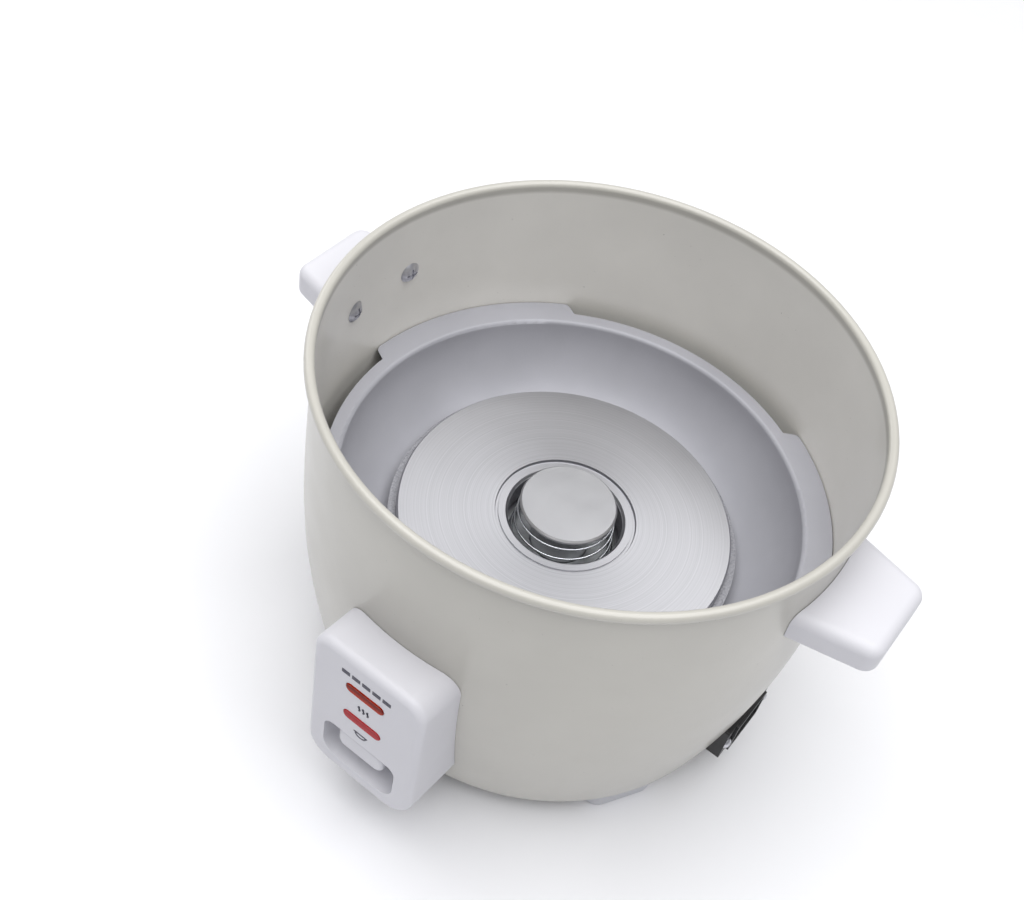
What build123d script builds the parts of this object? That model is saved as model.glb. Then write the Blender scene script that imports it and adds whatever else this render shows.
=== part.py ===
from build123d import *
import os
from math import atan2, cos, degrees, radians, sin, sqrt

# Electric rice cooker, seen without its pot and lid. Millimetres.
# Frame: the body's axis is Z, the floor is z = 0, the control box faces -Y and the
# two handles point along -X and +X.

os.makedirs("parts", exist_ok=True)

# ---------------------------------------------------------------- overall sizes
rim_radius = 125.0        # outside of the rolled rim
well_depth = 99.2         # rim down to the heating plate's face
plate_z = 90.8            # floor up to the heating plate's face
floor_gap = 6.0           # floor up to the shell's bottom lip
rim_z = plate_z + well_depth

# ---------------------------------------------------------------- clearances
seat_gap = 0.15           # moulding against sheet metal on the same body
hole_gap = 0.2            # screw in its clearance hole
running_gap = 0.35        # sliding pieces of different bodies
pin_gap = 0.05            # pin in a turning eye

# ---------------------------------------------------------------- shell
sheet = 0.7               # thickness of the shell's sheet steel
curl_radius = 2.3         # outside radius of the rolled rim
curl_end_deg = -110.0     # where the roll stops, from +X
barrel_swell = 1.5        # belly radius over the neck radius
belly_above_plate = 29.2  # height of the widest place over the plate
toe_inset = 28.6          # bottom edge radius under the belly radius
toe_curve = 16.0          # radius where the wall turns under
lip_width = 10.0          # flat lip round the shell's bottom opening

belly_z = plate_z + belly_above_plate
curl_z = rim_z - curl_radius
neck_radius = rim_radius - 2 * curl_radius + sheet
belly_radius = neck_radius + barrel_swell
toe_radius = belly_radius - toe_inset
lip_radius = toe_radius - lip_width

# ---------------------------------------------------------------- bottom and feet
bottom_sheet = 0.8
bottom_margin = 2.0       # bottom plate's edge inside the shell's bottom edge
vent_count = 24
vent_width = 3.0
vent_length = 20.0
vent_inner_radius = 34.0
foot_width = 36.0
foot_depth = 29.0
foot_overhang = 11.0      # foot's outer end past the shell's bottom edge
foot_height = 17.0        # before the shell's curve is taken out of it
foot_corner = 8.0
foot_edge = 1.6
foot_azimuths = (-150.0, -30.0, 90.0)
foot_screw_inset = 5.5    # foot screws inside the shell's bottom edge
head_sink = 0.4           # foot screws' heads above the floor

# ---------------------------------------------------------------- pan under the pot
pan_sheet = 0.8
pan_above_plate = 22.0    # pan's flange over the heating plate's face
pan_wall_gap = 7.2        # pan's flange to the shell's inside
pan_flange = 7.1          # width of the flange
pan_fold = 2.0            # radius between flange and bowl
pan_curve = 40.0          # radius of the bowl
pan_lip = 8.0             # depth of the ears' turned-down edge
pan_lip_gap = 0.3
ear_azimuths = (-86.7, 33.3, 153.3)
ear_angle = 52.0
ear_corner = 4.0

# ---------------------------------------------------------------- heating plate
plate_ring = 27.8         # bowl's fold to the plate's edge
plate_skirt = 3.7         # casting's step outside the plate's edge
plate_skirt_drop = 6.3
plate_skirt_height = 4.2
plate_thick = 13.0
plate_edge = 0.8
hole_past_cap = 4.5       # plate's hole past the cap
plate_hole_chamfer = 1.2
hub_sink = 0.5            # ring round the hole, under the plate's face
hub_width = 4.5
hub_groove = 1.4
hub_groove_depth = 0.9
element_radius = 3.3
element_to_post = 0.8      # casting's bulge to the posts
element_gap = 0.1
element_bulge = 6.0
element_bulge_drop = 3.4   # bulge under the plate's underside
element_open_deg = 40.0
element_bend = 6.0
element_leg = 13.0        # element's ends under the pan's floor
post_radius = 3.6
post_to_curve = 0.6       # posts to where the pan's floor starts to curve
post_azimuths = (90.0, 210.0, 330.0)
plate_screw_bite = 7.0

# ---------------------------------------------------------------- thermostat head
cap_radius = 23.0
cap_stand = 8.7           # cap's face over the plate's face
cap_thick = 1.8
cap_edge = 0.8
cap_skirt = 2.6
cap_skirt_inset = 2.0
cap_travel = 7.5
sleeve_radius = 14.0
sleeve_wall = 0.8
sleeve_tab = 1.0
guide_past_cap = 4.4      # guide's flange past the cap
guide_rim = 0.8           # height and wall of the flange's raised edge
guide_sheet = 0.8
guide_neck = 5.5
guide_wall = 0.8
ferrite_radius = 9.5
ferrite_height = 6.0
magnet_height = 6.0
magnet_lift_gap = 0.4     # magnet to ferrite when the pot is on and the key is down
carrier_radius = 12.4
carrier_sheet = 1.0
rod_radius = 2.5
head_spring_wire = 0.55   # wire radius
head_spring_turns = 5.0
magnet_spring_wire = 0.45
magnet_spring_radius = 11.2
magnet_spring_turns = 6.0

# ---------------------------------------------------------------- lever
pivot_y = -50.0
pivot_below_pan = 18.5
pin_radius = 1.5
pin_length = 15.0
lever_lift_deg = 5.0      # how far the cooking key turns the lever
arm_thick = 3.0
arm_half_width = 4.0
arm_joggle = 6.0          # outer arm over the inner arm
eye_radius = 4.2
bracket_sheet = 1.2
bracket_inner = 5.25      # half the room between the bracket's cheeks
bracket_web_half = 12.0
bracket_cheek_half = 6.5

# ---------------------------------------------------------------- switch
switch_length = 27.8
switch_height = 15.9
switch_width = 10.3
plunger_reach = 28.0      # plunger from the lever's pivot
plunger_radius = 1.5
switch_offset = 3.5       # switch's middle further out than its plunger
plunger_depth = 4.0
switch_screw_radius = 1.5
switch_screw_x = 22.2
switch_screw_z = 10.3
tab_width = 6.3
tab_thick = 0.8
tab_length = 7.5

# ---------------------------------------------------------------- control box
box_stand = 20.4          # face over the belly
box_width = 58.0
box_flare = 1.0           # extra half width at the block's back
box_top_above_plate = 31.8
box_bottom_below_plate = 60.0
box_top_fall = 8.0        # how far the top slopes down over the block's depth
box_sag = 3.0             # how far the bottom slopes down over the block's depth
box_wall = 2.2
box_top_corner = 10.0
box_bottom_corner = 13.5
box_edge = 3.6
box_back_reach = 42.0     # depth of the block before the shell is taken out
lens_length = 20.2
lens_height = 5.6
lens_gap = 0.12
lens_proud = 0.4
lens_flange = 1.4
warm_above_plate = 11.4
cook_below_plate = 9.2
recess_half = 19.6
recess_top = 7.0          # over the key's middle
recess_bottom = 18.2      # under the key's middle, at the face
recess_rise = 2.6         # how far the recess's bottom rises over its depth
recess_depth = 15.0
recess_wall = 1.6
recess_top_corner = 5.0
recess_bottom_corner = 9.0
key_width = 25.0
key_height = 12.6
key_depth = 12.6
key_sink = 0.8            # key's front under the box's face
key_corner = 4.6          # the key's corners, seen from the front
key_edge = 2.2
key_above_arm = 0.4
key_socket_gap = 0.1
box_screw_x = 18.0
box_screw_high = 6.0      # over the plate's face
box_screw_low = 18.0      # under the plate's face
box_screw_length = 13.0
boss_radius = 4.0
slot_half = 5.5           # lever's slot in the shell and in the recess
slot_below = 10.5         # slot's bottom under the lever's outer arm
slot_above = 5.0
box_slot_above = 3.0
cable_hole = 4.5

# ---------------------------------------------------------------- lamps
lamp_radius = 2.4
lamp_length = 13.0
lamp_back = 3.6           # lamp's axis behind the lens flange
holder_gap = 0.3
holder_sheet = 1.4
holder_depth = 9.5

# ---------------------------------------------------------------- handles
handle_drop = 38.5        # rim down to the handle's middle
handle_height = 15.0
handle_reach = 32.0       # past the belly
handle_tip_half = 22.0
handle_root_half = 30.2
handle_tip_corner = 7.0
handle_top_edge = 5.0
handle_low_edge = 2.6
handle_wall = 2.6
handle_screw_deg = 9.15
handle_screw_up = 0.5
handle_boss = 4.6
handle_screw_bite = 11.0
handle_screw_head = 5.4
handle_screw_head_height = 2.4
handle_root_in = 12.0     # handle's root inside the belly, before the shell is taken out

# ---------------------------------------------------------------- screws
screw_radius = 2.0
screw_head = 4.4
screw_head_height = 2.4
small_screw_radius = 1.5
small_screw_head = 2.9
small_screw_head_height = 1.9
cross_width = 1.1
cross_depth = 1.1
nut_radius = 4.0
nut_height = 2.4

# ---------------------------------------------------------------- power inlet
inlet_above_lip = 32.5    # inlet's middle over the shell's bottom
inlet_width = 39.4
inlet_height = 22.0
inlet_face_in = 5.3       # inlet's face inside the belly radius
inlet_depth = 24.0
inlet_gap = 0.3
shroud_width = 27.6
shroud_proud = 1.5
socket_width = 24.0
socket_height = 16.4
socket_depth = 15.5
socket_corner = 3.0
inlet_pin_width = 4.0
inlet_pin_thick = 2.0
inlet_pin_pitch = 7.0
inlet_pin_offset = 2.0
inlet_pin_stop = 4.5      # pin's end inside the socket's mouth
inlet_tail = 9.0
inlet_screw_pitch = 33.6
strap_sheet = 1.2
strap_leg_half = 9.0

# ---------------------------------------------------------------- small electrics
warmer_radius = 8.4
warmer_height = 9.5
warmer_ear = 12.0
warmer_x = -40.0
warmer_y = 16.0
fuse_radius = 2.1
fuse_length = 12.0
fuse_x = 38.0
fuse_y = 14.0
fuse_clip_sheet = 0.8
earth_x = 34.0
earth_y = -22.0
bush_wall = 1.4
bush_height = 6.0

# ================================================================ derived places
pan_z = plate_z + pan_above_plate
pan_floor_z = pan_z - pan_fold - pan_curve
pan_under_z = pan_floor_z - pan_sheet
pivot_z = pan_under_z - pivot_below_pan
cap_z = plate_z + cap_stand
face_y = -(belly_radius + box_stand)
box_top_z = plate_z + box_top_above_plate
box_bottom_z = plate_z - box_bottom_below_plate
arm_top_z = pivot_z + arm_thick / 2
outer_arm_z = pivot_z + arm_joggle
key_z = outer_arm_z + key_above_arm
lift = radians(lever_lift_deg)
plunger_stand = (plunger_reach + switch_offset + switch_length / 2) * lift + running_gap
magnet_lift = -pivot_y * lift
handle_z = rim_z - handle_drop
inlet_z = floor_gap + inlet_above_lip
inlet_face = belly_radius - inlet_face_in


# ================================================================ small helpers
def save(name, *solids):
    """Write one node; several solids make a node of separate pieces."""
    whole = solids[0] if len(solids) == 1 else Compound(list(solids))
    export_step(whole, f"parts/{name}.step")


def block(x, y, z):
    """Box between three pairs of limits."""
    size = (x[1] - x[0], y[1] - y[0], z[1] - z[0])
    middle = ((x[0] + x[1]) / 2, (y[0] + y[1]) / 2, (z[0] + z[1]) / 2)
    return Pos(*middle) * Box(*size)


def drum(radius, low, high, x=0.0, y=0.0):
    """Upright cylinder between two heights."""
    return Pos(x, y, (low + high) / 2) * Cylinder(radius, high - low)


def rod(radius, start, axis, length):
    """Cylinder from a point along a direction."""
    bar = Cylinder(radius, length, align=(Align.CENTER, Align.CENTER, Align.MIN))
    return Plane(origin=start, z_dir=axis) * bar


def lathe(corners):
    """Solid of revolution about Z from (radius, height) corners."""
    outline = Polyline(*[(r, 0, z) for r, z in corners], close=True)
    return revolve(make_face(outline), axis=Axis.Z)


def around(azimuth, radius, z=0.0):
    """Point at an azimuth and a radius."""
    turn = radians(azimuth)
    return (radius * cos(turn), radius * sin(turn), z)


def side_slab(corners, x_low, x_high):
    """Flat piece with (y, z) corners between two x values."""
    outline = Polyline(*[(x_low, y, z) for y, z in corners], close=True)
    return extrude(make_face(outline), amount=x_high - x_low, dir=(1, 0, 0))


def cross_screw(radius, length, head, head_height):
    """Domed cross-head screw: its seat is at z = 0, its shank points down."""
    dome = (head * head + head_height * head_height) / (2 * head_height)
    crown = Pos(0, 0, head_height - dome) * Sphere(dome)
    crown = crown & drum(head, 0, head_height + 1)
    reach = 2 * head * 0.55
    slot = block((-reach / 2, reach / 2), (-cross_width / 2, cross_width / 2),
                 (head_height - cross_depth, head_height + 1))
    crown = crown - slot - Rot(0, 0, 90) * slot
    return crown + drum(radius, -length, 0.1)


def inner_seat(z, head):
    """Radius that a screw's head clears inside the shell at a height."""
    return min(wall_radius(z - head, sheet), wall_radius(z + head, sheet))


def screw_at(screw, seat, out):
    """Put a screw so that its head points along out from its seat."""
    return Plane(origin=seat, z_dir=out) * screw


# ================================================================ the shell's outline
def barrel_curve():
    """Radius of the upper wall's long arc, centred at the belly's height."""
    tall = curl_z - belly_z
    return (tall ** 2 + barrel_swell ** 2) / (2 * barrel_swell)


def flank_curve():
    """Radius of the lower wall's long arc, from the belly down to the toe's arc."""
    wide = belly_radius - toe_radius
    tall = belly_z - floor_gap
    return (wide ** 2 + tall ** 2 - 2 * tall * toe_curve) / (2 * (wide - toe_curve))


def toe_angle():
    """Angle below the horizontal where the lower wall's two arcs meet."""
    centre = belly_radius - flank_curve()
    return atan2(belly_z - floor_gap - toe_curve, toe_radius - centre)


def wall_radius(z, inset=0.0):
    """Radius of the shell at a height, under its outside by inset."""
    if z >= belly_z:
        curve = barrel_curve()
        return belly_radius - curve + sqrt((curve - inset) ** 2 - (z - belly_z) ** 2)
    if z >= floor_gap + toe_curve - (toe_curve - inset) * sin(toe_angle()):
        curve = flank_curve()
        return belly_radius - curve + sqrt((curve - inset) ** 2 - (belly_z - z) ** 2)
    return toe_radius + sqrt((toe_curve - inset) ** 2 - (floor_gap + toe_curve - z) ** 2)


def toe_point(angle, inset):
    """Point on the toe's arc, at an angle below the horizontal."""
    curve = toe_curve - inset
    return (toe_radius + curve * cos(angle), 0, floor_gap + toe_curve - curve * sin(angle))


def lower_curves(inset):
    """Two tangent arcs of the lower wall, from the bottom edge up to the belly."""
    turn = toe_angle()
    joint = toe_point(turn, inset)
    toe = ThreePointArc((toe_radius, 0, floor_gap + inset),
                        toe_point((radians(90) + turn) / 2, inset), joint)
    middle_z = (joint[2] + belly_z) / 2
    flank = ThreePointArc(joint, (wall_radius(middle_z, inset), 0, middle_z),
                          (belly_radius - inset, 0, belly_z))
    return [toe, flank]


def upper_curve(inset):
    """Arc of the upper wall, from the belly up to the rolled rim."""
    middle_z = (belly_z + curl_z) / 2
    return ThreePointArc((belly_radius - inset, 0, belly_z),
                         (wall_radius(middle_z, inset), 0, middle_z),
                         (wall_radius(curl_z, inset), 0, curl_z))


def envelope(grow):
    """Everything inside the shell's outside, grown by a clearance."""
    lower = lower_curves(-grow)
    upper = upper_curve(-grow)
    top = upper @ 1
    edges = [
        Line((0, 0, floor_gap - grow), lower[0] @ 0),
        *lower,
        upper,
        Line(top, (top.X, 0, rim_z + 5)),
        Line((top.X, 0, rim_z + 5), (0, 0, rim_z + 5)),
        Line((0, 0, rim_z + 5), (0, 0, floor_gap - grow)),
    ]
    return revolve(make_face(edges), axis=Axis.Z)


# ================================================================ shell
def curl_point(radius, angle):
    """Point on the rolled rim's section."""
    turn = radians(angle)
    return (rim_radius - curl_radius + radius * cos(turn), 0, curl_z + radius * sin(turn))


def make_shell():
    """Single-wall body with a rolled rim, a bottom lip and its openings."""
    inner_curl = curl_radius - sheet
    outside_low = lower_curves(0)
    outside_high = upper_curve(0)
    inside_low = lower_curves(sheet)
    inside_high = upper_curve(sheet)
    middle_deg = (180 + curl_end_deg) / 2
    roll_in = ThreePointArc(outside_high @ 1, curl_point(inner_curl, middle_deg),
                            curl_point(inner_curl, curl_end_deg))
    roll_out = ThreePointArc(curl_point(curl_radius, curl_end_deg),
                             curl_point(curl_radius, middle_deg), inside_high @ 1)
    edges = [
        Line((lip_radius, 0, floor_gap), outside_low[0] @ 0),
        *outside_low,
        outside_high,
        roll_in,
        Line(roll_in @ 1, roll_out @ 0),
        roll_out,
        inside_high,
        *inside_low,
        Line(inside_low[0] @ 0, (lip_radius, 0, floor_gap + sheet)),
        Line((lip_radius, 0, floor_gap + sheet), (lip_radius, 0, floor_gap)),
    ]
    shell = revolve(make_face(edges), axis=Axis.Z)
    shell -= control_openings()
    for side in (0, 180):
        for turn in (-handle_screw_deg, handle_screw_deg):
            hole = rod(screw_radius + hole_gap, (0, 0, handle_z + handle_screw_up),
                       around(side + turn, 1), rim_radius + 5)
            shell -= hole
    half = inlet_width / 2 + inlet_gap
    tall = inlet_height / 2 + inlet_gap
    shell -= block((toe_radius, rim_radius), (-half, half), (inlet_z - tall, inlet_z + tall))
    for azimuth in foot_azimuths:
        x, y, _ = around(azimuth, toe_radius - foot_screw_inset)
        shell -= drum(screw_radius + hole_gap, floor_gap - 1, floor_gap + sheet + 1, x, y)
    return shell


def box_screw_places():
    """Where the control box's screws go through the shell: (x, z)."""
    high = plate_z + box_screw_high
    low = plate_z - box_screw_low
    return [(x, z) for z in (high, low) for x in (-box_screw_x, box_screw_x)]


def control_openings():
    """Lever slot, cable hole and screw holes behind the control box."""
    depth = (face_y + box_wall, -lip_radius)
    slot_low = outer_arm_z - slot_below
    slot_high = outer_arm_z + slot_above
    cuts = block((-slot_half, slot_half), depth, (slot_low, slot_high))
    cuts += rod(cable_hole, (0, -lip_radius, plate_z), (0, -1, 0), rim_radius - lip_radius + 2)
    for x, z in box_screw_places():
        cuts += rod(screw_radius + hole_gap, (x, -lip_radius, z), (0, -1, 0),
                    rim_radius - lip_radius + 2)
    return cuts


# ================================================================ bottom plate and feet
def make_bottom_plate():
    """Vented disc under the shell's lip."""
    top = floor_gap
    plate = drum(toe_radius - bottom_margin, top - bottom_sheet, top)
    slot = SlotCenterToCenter(vent_length - vent_width, vent_width)
    slot = extrude(slot, amount=bottom_sheet + 2)
    for n in range(vent_count):
        azimuth = n * 360 / vent_count + 180 / vent_count
        x, y, _ = around(azimuth, vent_inner_radius + vent_length / 2)
        plate -= Pos(x, y, top - bottom_sheet - 1) * (Rot(0, 0, azimuth) * slot)
    for azimuth in foot_azimuths:
        x, y, _ = around(azimuth, toe_radius - foot_screw_inset)
        plate -= drum(screw_radius + hole_gap, top - bottom_sheet - 1, top + 1, x, y)
    return plate


def make_foot(azimuth, shell_space):
    """Moulded foot under the bottom plate that rises round the shell's edge."""
    outer = toe_radius + foot_overhang
    plan = Pos(outer - foot_depth / 2, 0) * Rectangle(foot_depth, foot_width)
    plan = fillet(plan.vertices(), foot_corner)
    foot = extrude(plan, amount=foot_height)
    foot = fillet(foot.faces().sort_by(Axis.Z)[0].edges(), foot_edge)
    screw_x = toe_radius - foot_screw_inset
    plate_space = drum(toe_radius - bottom_margin + seat_gap,
                       floor_gap - bottom_sheet, foot_height + 1)
    foot = Rot(0, 0, azimuth) * foot - shell_space - plate_space
    x, y, _ = around(azimuth, screw_x)
    foot -= drum(screw_radius + hole_gap, -1, foot_height, x, y)
    foot -= drum(screw_head + hole_gap, -1, screw_head_height + head_sink, x, y)
    return foot


def foot_screws_and_nuts():
    """Screws up through the feet and the nuts on the shell's lip."""
    seat = screw_head_height + head_sink
    nut_z = floor_gap + sheet
    screw = cross_screw(screw_radius, nut_z + nut_height + 1 - seat, screw_head,
                        screw_head_height)
    screws = []
    nuts = []
    for azimuth in foot_azimuths:
        x, y, _ = around(azimuth, toe_radius - foot_screw_inset)
        screws.append(screw_at(screw, (x, y, seat), (0, 0, -1)))
        nut = extrude(RegularPolygon(nut_radius, 6), amount=nut_height)
        nut = Pos(x, y, nut_z) * nut
        nuts.append(nut - drum(screw_radius + pin_gap, nut_z - 1, nut_z + nut_height + 1, x, y))
    return screws, nuts


# ================================================================ pan
bowl_radius = wall_radius(pan_z, sheet) - pan_wall_gap - pan_flange
pan_flange_radius = bowl_radius + pan_flange
bowl_centre = bowl_radius - pan_curve
ear_radius = wall_radius(pan_z - pan_lip, sheet) - pan_lip_gap
guide_hole = sleeve_radius + running_gap + guide_wall + seat_gap
plate_radius = bowl_radius - plate_ring
post_circle = bowl_centre - post_radius - post_to_curve
element_circle = post_circle - post_radius - element_to_post - element_bulge


def bowl_edges(inset):
    """Edges of the bowl's outline, its upper face at inset 0."""
    floor_z = pan_floor_z - inset
    curve = pan_curve + inset
    fold = pan_fold - inset
    half = cos(radians(45))
    foot = (bowl_centre, 0, floor_z)
    rise = (bowl_centre + curve, 0, floor_z + curve)
    arc = ThreePointArc(foot, (bowl_centre + curve * half, 0, floor_z + curve * (1 - half)), rise)
    edge = (bowl_centre + curve + fold, 0, floor_z + curve + fold)
    turn = ThreePointArc(rise, (rise[0] + fold * (1 - half), 0, rise[2] + fold * half), edge)
    return [Line((guide_hole, 0, floor_z), foot), arc, turn,
            Line(edge, (pan_flange_radius, 0, edge[2]))]


def make_pan():
    """Pressed dish under the pot, with a flange and three ears that reach the shell."""
    upper = bowl_edges(0)
    lower = bowl_edges(pan_sheet)
    edges = upper + lower
    edges.append(Line(upper[0] @ 0, lower[0] @ 0))
    edges.append(Line(upper[3] @ 1, lower[3] @ 1))
    pan = revolve(make_face(edges), axis=Axis.Z)
    span = radians(ear_angle / 2)
    for azimuth in ear_azimuths:
        wide = 2 * ear_radius * sin(span)
        ear = Pos(ear_radius / 2, 0) * Rectangle(ear_radius * 1.2, wide)
        ear = ear & Circle(ear_radius)
        corners = ear.vertices().sort_by(Axis.X)[-2:]
        ear = fillet(corners, ear_corner) - Circle(bowl_radius + pan_fold)
        tab = Pos(0, 0, pan_z - pan_sheet) * extrude(ear, amount=pan_sheet)
        turned = drum(ear_radius, pan_z - pan_lip, pan_z) - drum(
            ear_radius - pan_sheet, pan_z - pan_lip - 1, pan_z + 1)
        half = wide / 2 - ear_corner - 2
        turned = turned & block((0, rim_radius), (-half, half), (pan_z - pan_lip, pan_z))
        pan += Rot(0, 0, azimuth) * (tab + turned)
    for x, y, radius in pan_holes():
        pan -= drum(radius, pan_under_z - 1, pan_floor_z + 1, x, y)
    return pan


def pan_holes():
    """Holes in the pan's floor: (x, y, radius)."""
    holes = []
    for azimuth in post_azimuths:
        x, y, _ = around(azimuth, post_circle)
        holes.append((x, y, screw_radius + hole_gap))
    for side in (-1, 1):
        holes.append((side * element_leg_x(), element_leg_y(), element_radius + bush_wall + 0.1))
        holes.append((side * bracket_hole_x, pivot_y, small_screw_radius + hole_gap))
        holes.append((warmer_x, warmer_y + side * (warmer_ear - 2.6), small_screw_radius + hole_gap))
    holes.append((fuse_x, fuse_y + 9.0, small_screw_radius + hole_gap))
    holes.append((earth_x, earth_y, small_screw_radius + hole_gap))
    return holes


bracket_hole_x = bracket_inner + bracket_sheet + 5.2


def element_leg_x():
    """Distance of the element's legs from the middle plane."""
    turn = radians(element_open_deg / 2)
    return element_circle * sin(turn) - element_bend * cos(turn)


def element_leg_y():
    """Distance of the element's legs from the axis along Y."""
    turn = radians(element_open_deg / 2)
    return element_circle * cos(turn) + element_bend * sin(turn)


# ================================================================ heating plate
plate_hole = cap_radius + hole_past_cap
hub_radius = plate_hole + hub_width


def make_plate():
    """Cast aluminium disc with a turned face, a sunk ring and a cast-in element."""
    under = plate_z - plate_thick
    skirt_z = plate_z - plate_skirt_drop
    skirt_low = skirt_z - plate_skirt_height
    hub_z = plate_z - hub_sink
    bulge_z = under - element_bulge_drop
    inner = element_circle - element_bulge
    outer = element_circle + element_bulge
    plate = lathe([
        (plate_hole, under),
        (plate_hole, hub_z - plate_hole_chamfer),
        (plate_hole + plate_hole_chamfer, hub_z),
        (hub_radius, hub_z),
        (hub_radius, hub_z - hub_groove_depth),
        (hub_radius + hub_groove, hub_z - hub_groove_depth),
        (hub_radius + hub_groove + 0.4, plate_z),
        (plate_radius - plate_edge, plate_z),
        (plate_radius, plate_z - plate_edge),
        (plate_radius, skirt_z),
        (plate_radius + plate_skirt, skirt_z),
        (plate_radius + plate_skirt, skirt_low),
        (plate_radius, under),
        (outer, under),
        (outer - 1.5, bulge_z),
        (inner + 1.5, bulge_z),
        (inner, under),
    ])
    room = element_radius + element_gap
    channel = revolve(Plane.XZ * Pos(element_circle, element_z()) * Circle(room), axis=Axis.Z)
    opening = drum(element_circle + room, bulge_z - 1, element_z()) - drum(
        element_circle - room, bulge_z - 2, element_z() + 1)
    plate -= channel + opening
    pocket_half = element_circle * sin(radians(element_open_deg / 2)) + 2
    plate -= block((-pocket_half, pocket_half),
                   (element_leg_y() - element_radius - 2.5, element_leg_y() + element_radius + 2.5),
                   (bulge_z - 1, element_z() + room))
    for azimuth in post_azimuths:
        x, y, _ = around(azimuth, post_circle)
        plate -= drum(screw_radius + pin_gap, under - 1, under + plate_screw_bite, x, y)
    return plate


def element_z():
    """Height of the element's middle."""
    return plate_z - plate_thick - element_bulge_drop + element_radius


def make_element():
    """Tubular element, open at the back, with both ends turned down."""
    half = radians(element_open_deg / 2)
    z = element_z()
    legs = []
    for side in (-1, 1):
        start = Vector(side * element_circle * sin(half), element_circle * cos(half), z)
        heading = Vector(-side * cos(half), sin(half), 0)
        middle = start + heading * (element_bend * sin(radians(45))) - Vector(
            0, 0, element_bend * (1 - cos(radians(45))))
        corner = start + heading * element_bend - Vector(0, 0, element_bend)
        low = Vector(corner.X, corner.Y, pan_under_z - element_leg)
        legs.append((start, ThreePointArc(start, middle, corner), Line(corner, low)))
    ring = ThreePointArc(legs[0][0], (0, -element_circle, z), legs[1][0])
    tube = Circle(element_radius)
    solid = sweep(Plane(origin=ring @ 0, z_dir=ring % 0) * tube, path=ring)
    for _, bend, leg in legs:
        solid += sweep(Plane(origin=bend @ 0, z_dir=bend % 0) * tube, path=bend)
        solid += sweep(Plane(origin=leg @ 0, z_dir=leg % 0) * tube, path=leg)
    return solid


def flat_tab(x, y, z_top, length, along_x=True):
    """Spade terminal hanging down from a height."""
    wide, thick = tab_width / 2, tab_thick / 2
    across = (wide, thick) if along_x else (thick, wide)
    return block((x - across[0], x + across[0]), (y - across[1], y + across[1]),
                 (z_top - length, z_top))


def make_element_terminals():
    """Pin and spade under each end of the element."""
    low = pan_under_z - element_leg
    solids = []
    for side in (-1, 1):
        x, y = side * element_leg_x(), element_leg_y()
        pin = drum(1.3, low - 5, low, x, y)
        solids.append(pin + flat_tab(x, y, low - 4, tab_length + 2))
    return solids


def make_bushes():
    """Ceramic bushes round the element's legs in the pan's floor."""
    solids = []
    for side in (-1, 1):
        x, y = side * element_leg_x(), element_leg_y()
        low = pan_under_z - bush_height / 2
        bush = drum(element_radius + bush_wall, low, pan_floor_z + 0.6, x, y)
        bush += drum(element_radius + bush_wall + 1.6, low, pan_under_z, x, y)
        solids.append(bush - drum(element_radius + pin_gap, low - 1, pan_floor_z + 2, x, y))
    return solids


def make_posts():
    """Spacers between the plate and the pan, and the screws that hold both."""
    under = plate_z - plate_thick
    screw = cross_screw(screw_radius, under - pan_under_z + plate_screw_bite - 1,
                        screw_head, screw_head_height)
    posts = []
    screws = []
    for azimuth in post_azimuths:
        x, y, _ = around(azimuth, post_circle)
        post = drum(post_radius, pan_floor_z, under, x, y)
        posts.append(post - drum(screw_radius + pin_gap, pan_floor_z - 1, under + 1, x, y))
        screws.append(screw_at(screw, (x, y, pan_under_z), (0, 0, -1)))
    return posts, screws


# ================================================================ thermostat head
def make_cap():
    """Sprung contact cap in the middle of the plate."""
    low = cap_z - cap_thick
    skirt = cap_radius - cap_skirt_inset
    return lathe([
        (0, cap_z),
        (cap_radius - cap_edge, cap_z),
        (cap_radius, cap_z - cap_edge),
        (cap_radius, low),
        (skirt, low),
        (skirt, low - cap_skirt),
        (skirt - 1.0, low - cap_skirt),
        (skirt - 1.0, low),
        (0, low),
    ])


guide_flange = cap_radius + guide_past_cap
ferrite_low = cap_z - cap_thick - ferrite_height
magnet_top = ferrite_low - cap_travel - magnet_lift - magnet_lift_gap
carrier_top = magnet_top - magnet_height
guide_top = pan_floor_z + guide_sheet
guide_low = guide_top - guide_neck
sleeve_low = guide_low - 1.2
head_spring_top = cap_radius - cap_skirt_inset + running_gap + head_spring_wire
head_spring_bottom = guide_flange - guide_rim - running_gap - head_spring_wire


def make_sleeve():
    """Tube under the cap with a turned-out lower edge that stops it in its guide."""
    top = cap_z - cap_thick
    inner = sleeve_radius - sleeve_wall
    return lathe([
        (inner, top),
        (sleeve_radius, top),
        (sleeve_radius, sleeve_low + 0.8),
        (sleeve_radius + sleeve_tab, sleeve_low + 0.8),
        (sleeve_radius + sleeve_tab, sleeve_low),
        (inner, sleeve_low),
    ])


def make_guide():
    """Flanged neck in the pan's floor that guides the sleeve and seats the spring."""
    inner = sleeve_radius + running_gap
    return lathe([
        (inner, guide_low),
        (inner + guide_wall, guide_low),
        (inner + guide_wall, pan_floor_z),
        (guide_flange, pan_floor_z),
        (guide_flange, guide_top + guide_rim),
        (guide_flange - guide_rim, guide_top + guide_rim),
        (guide_flange - guide_rim, guide_top),
        (inner, guide_top),
    ])


def make_ferrite():
    """Ferrite disc bonded under the cap."""
    return drum(ferrite_radius, ferrite_low, cap_z - cap_thick)


def make_magnet():
    """Disc magnet on the carrier."""
    return drum(ferrite_radius, carrier_top, magnet_top)


def make_carrier():
    """Dish and rod that carry the magnet and rest on the lever."""
    rod_low = arm_top_z + running_gap
    dish = drum(carrier_radius, carrier_top - carrier_sheet, carrier_top)
    return dish + drum(rod_radius, rod_low, carrier_top)


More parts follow.
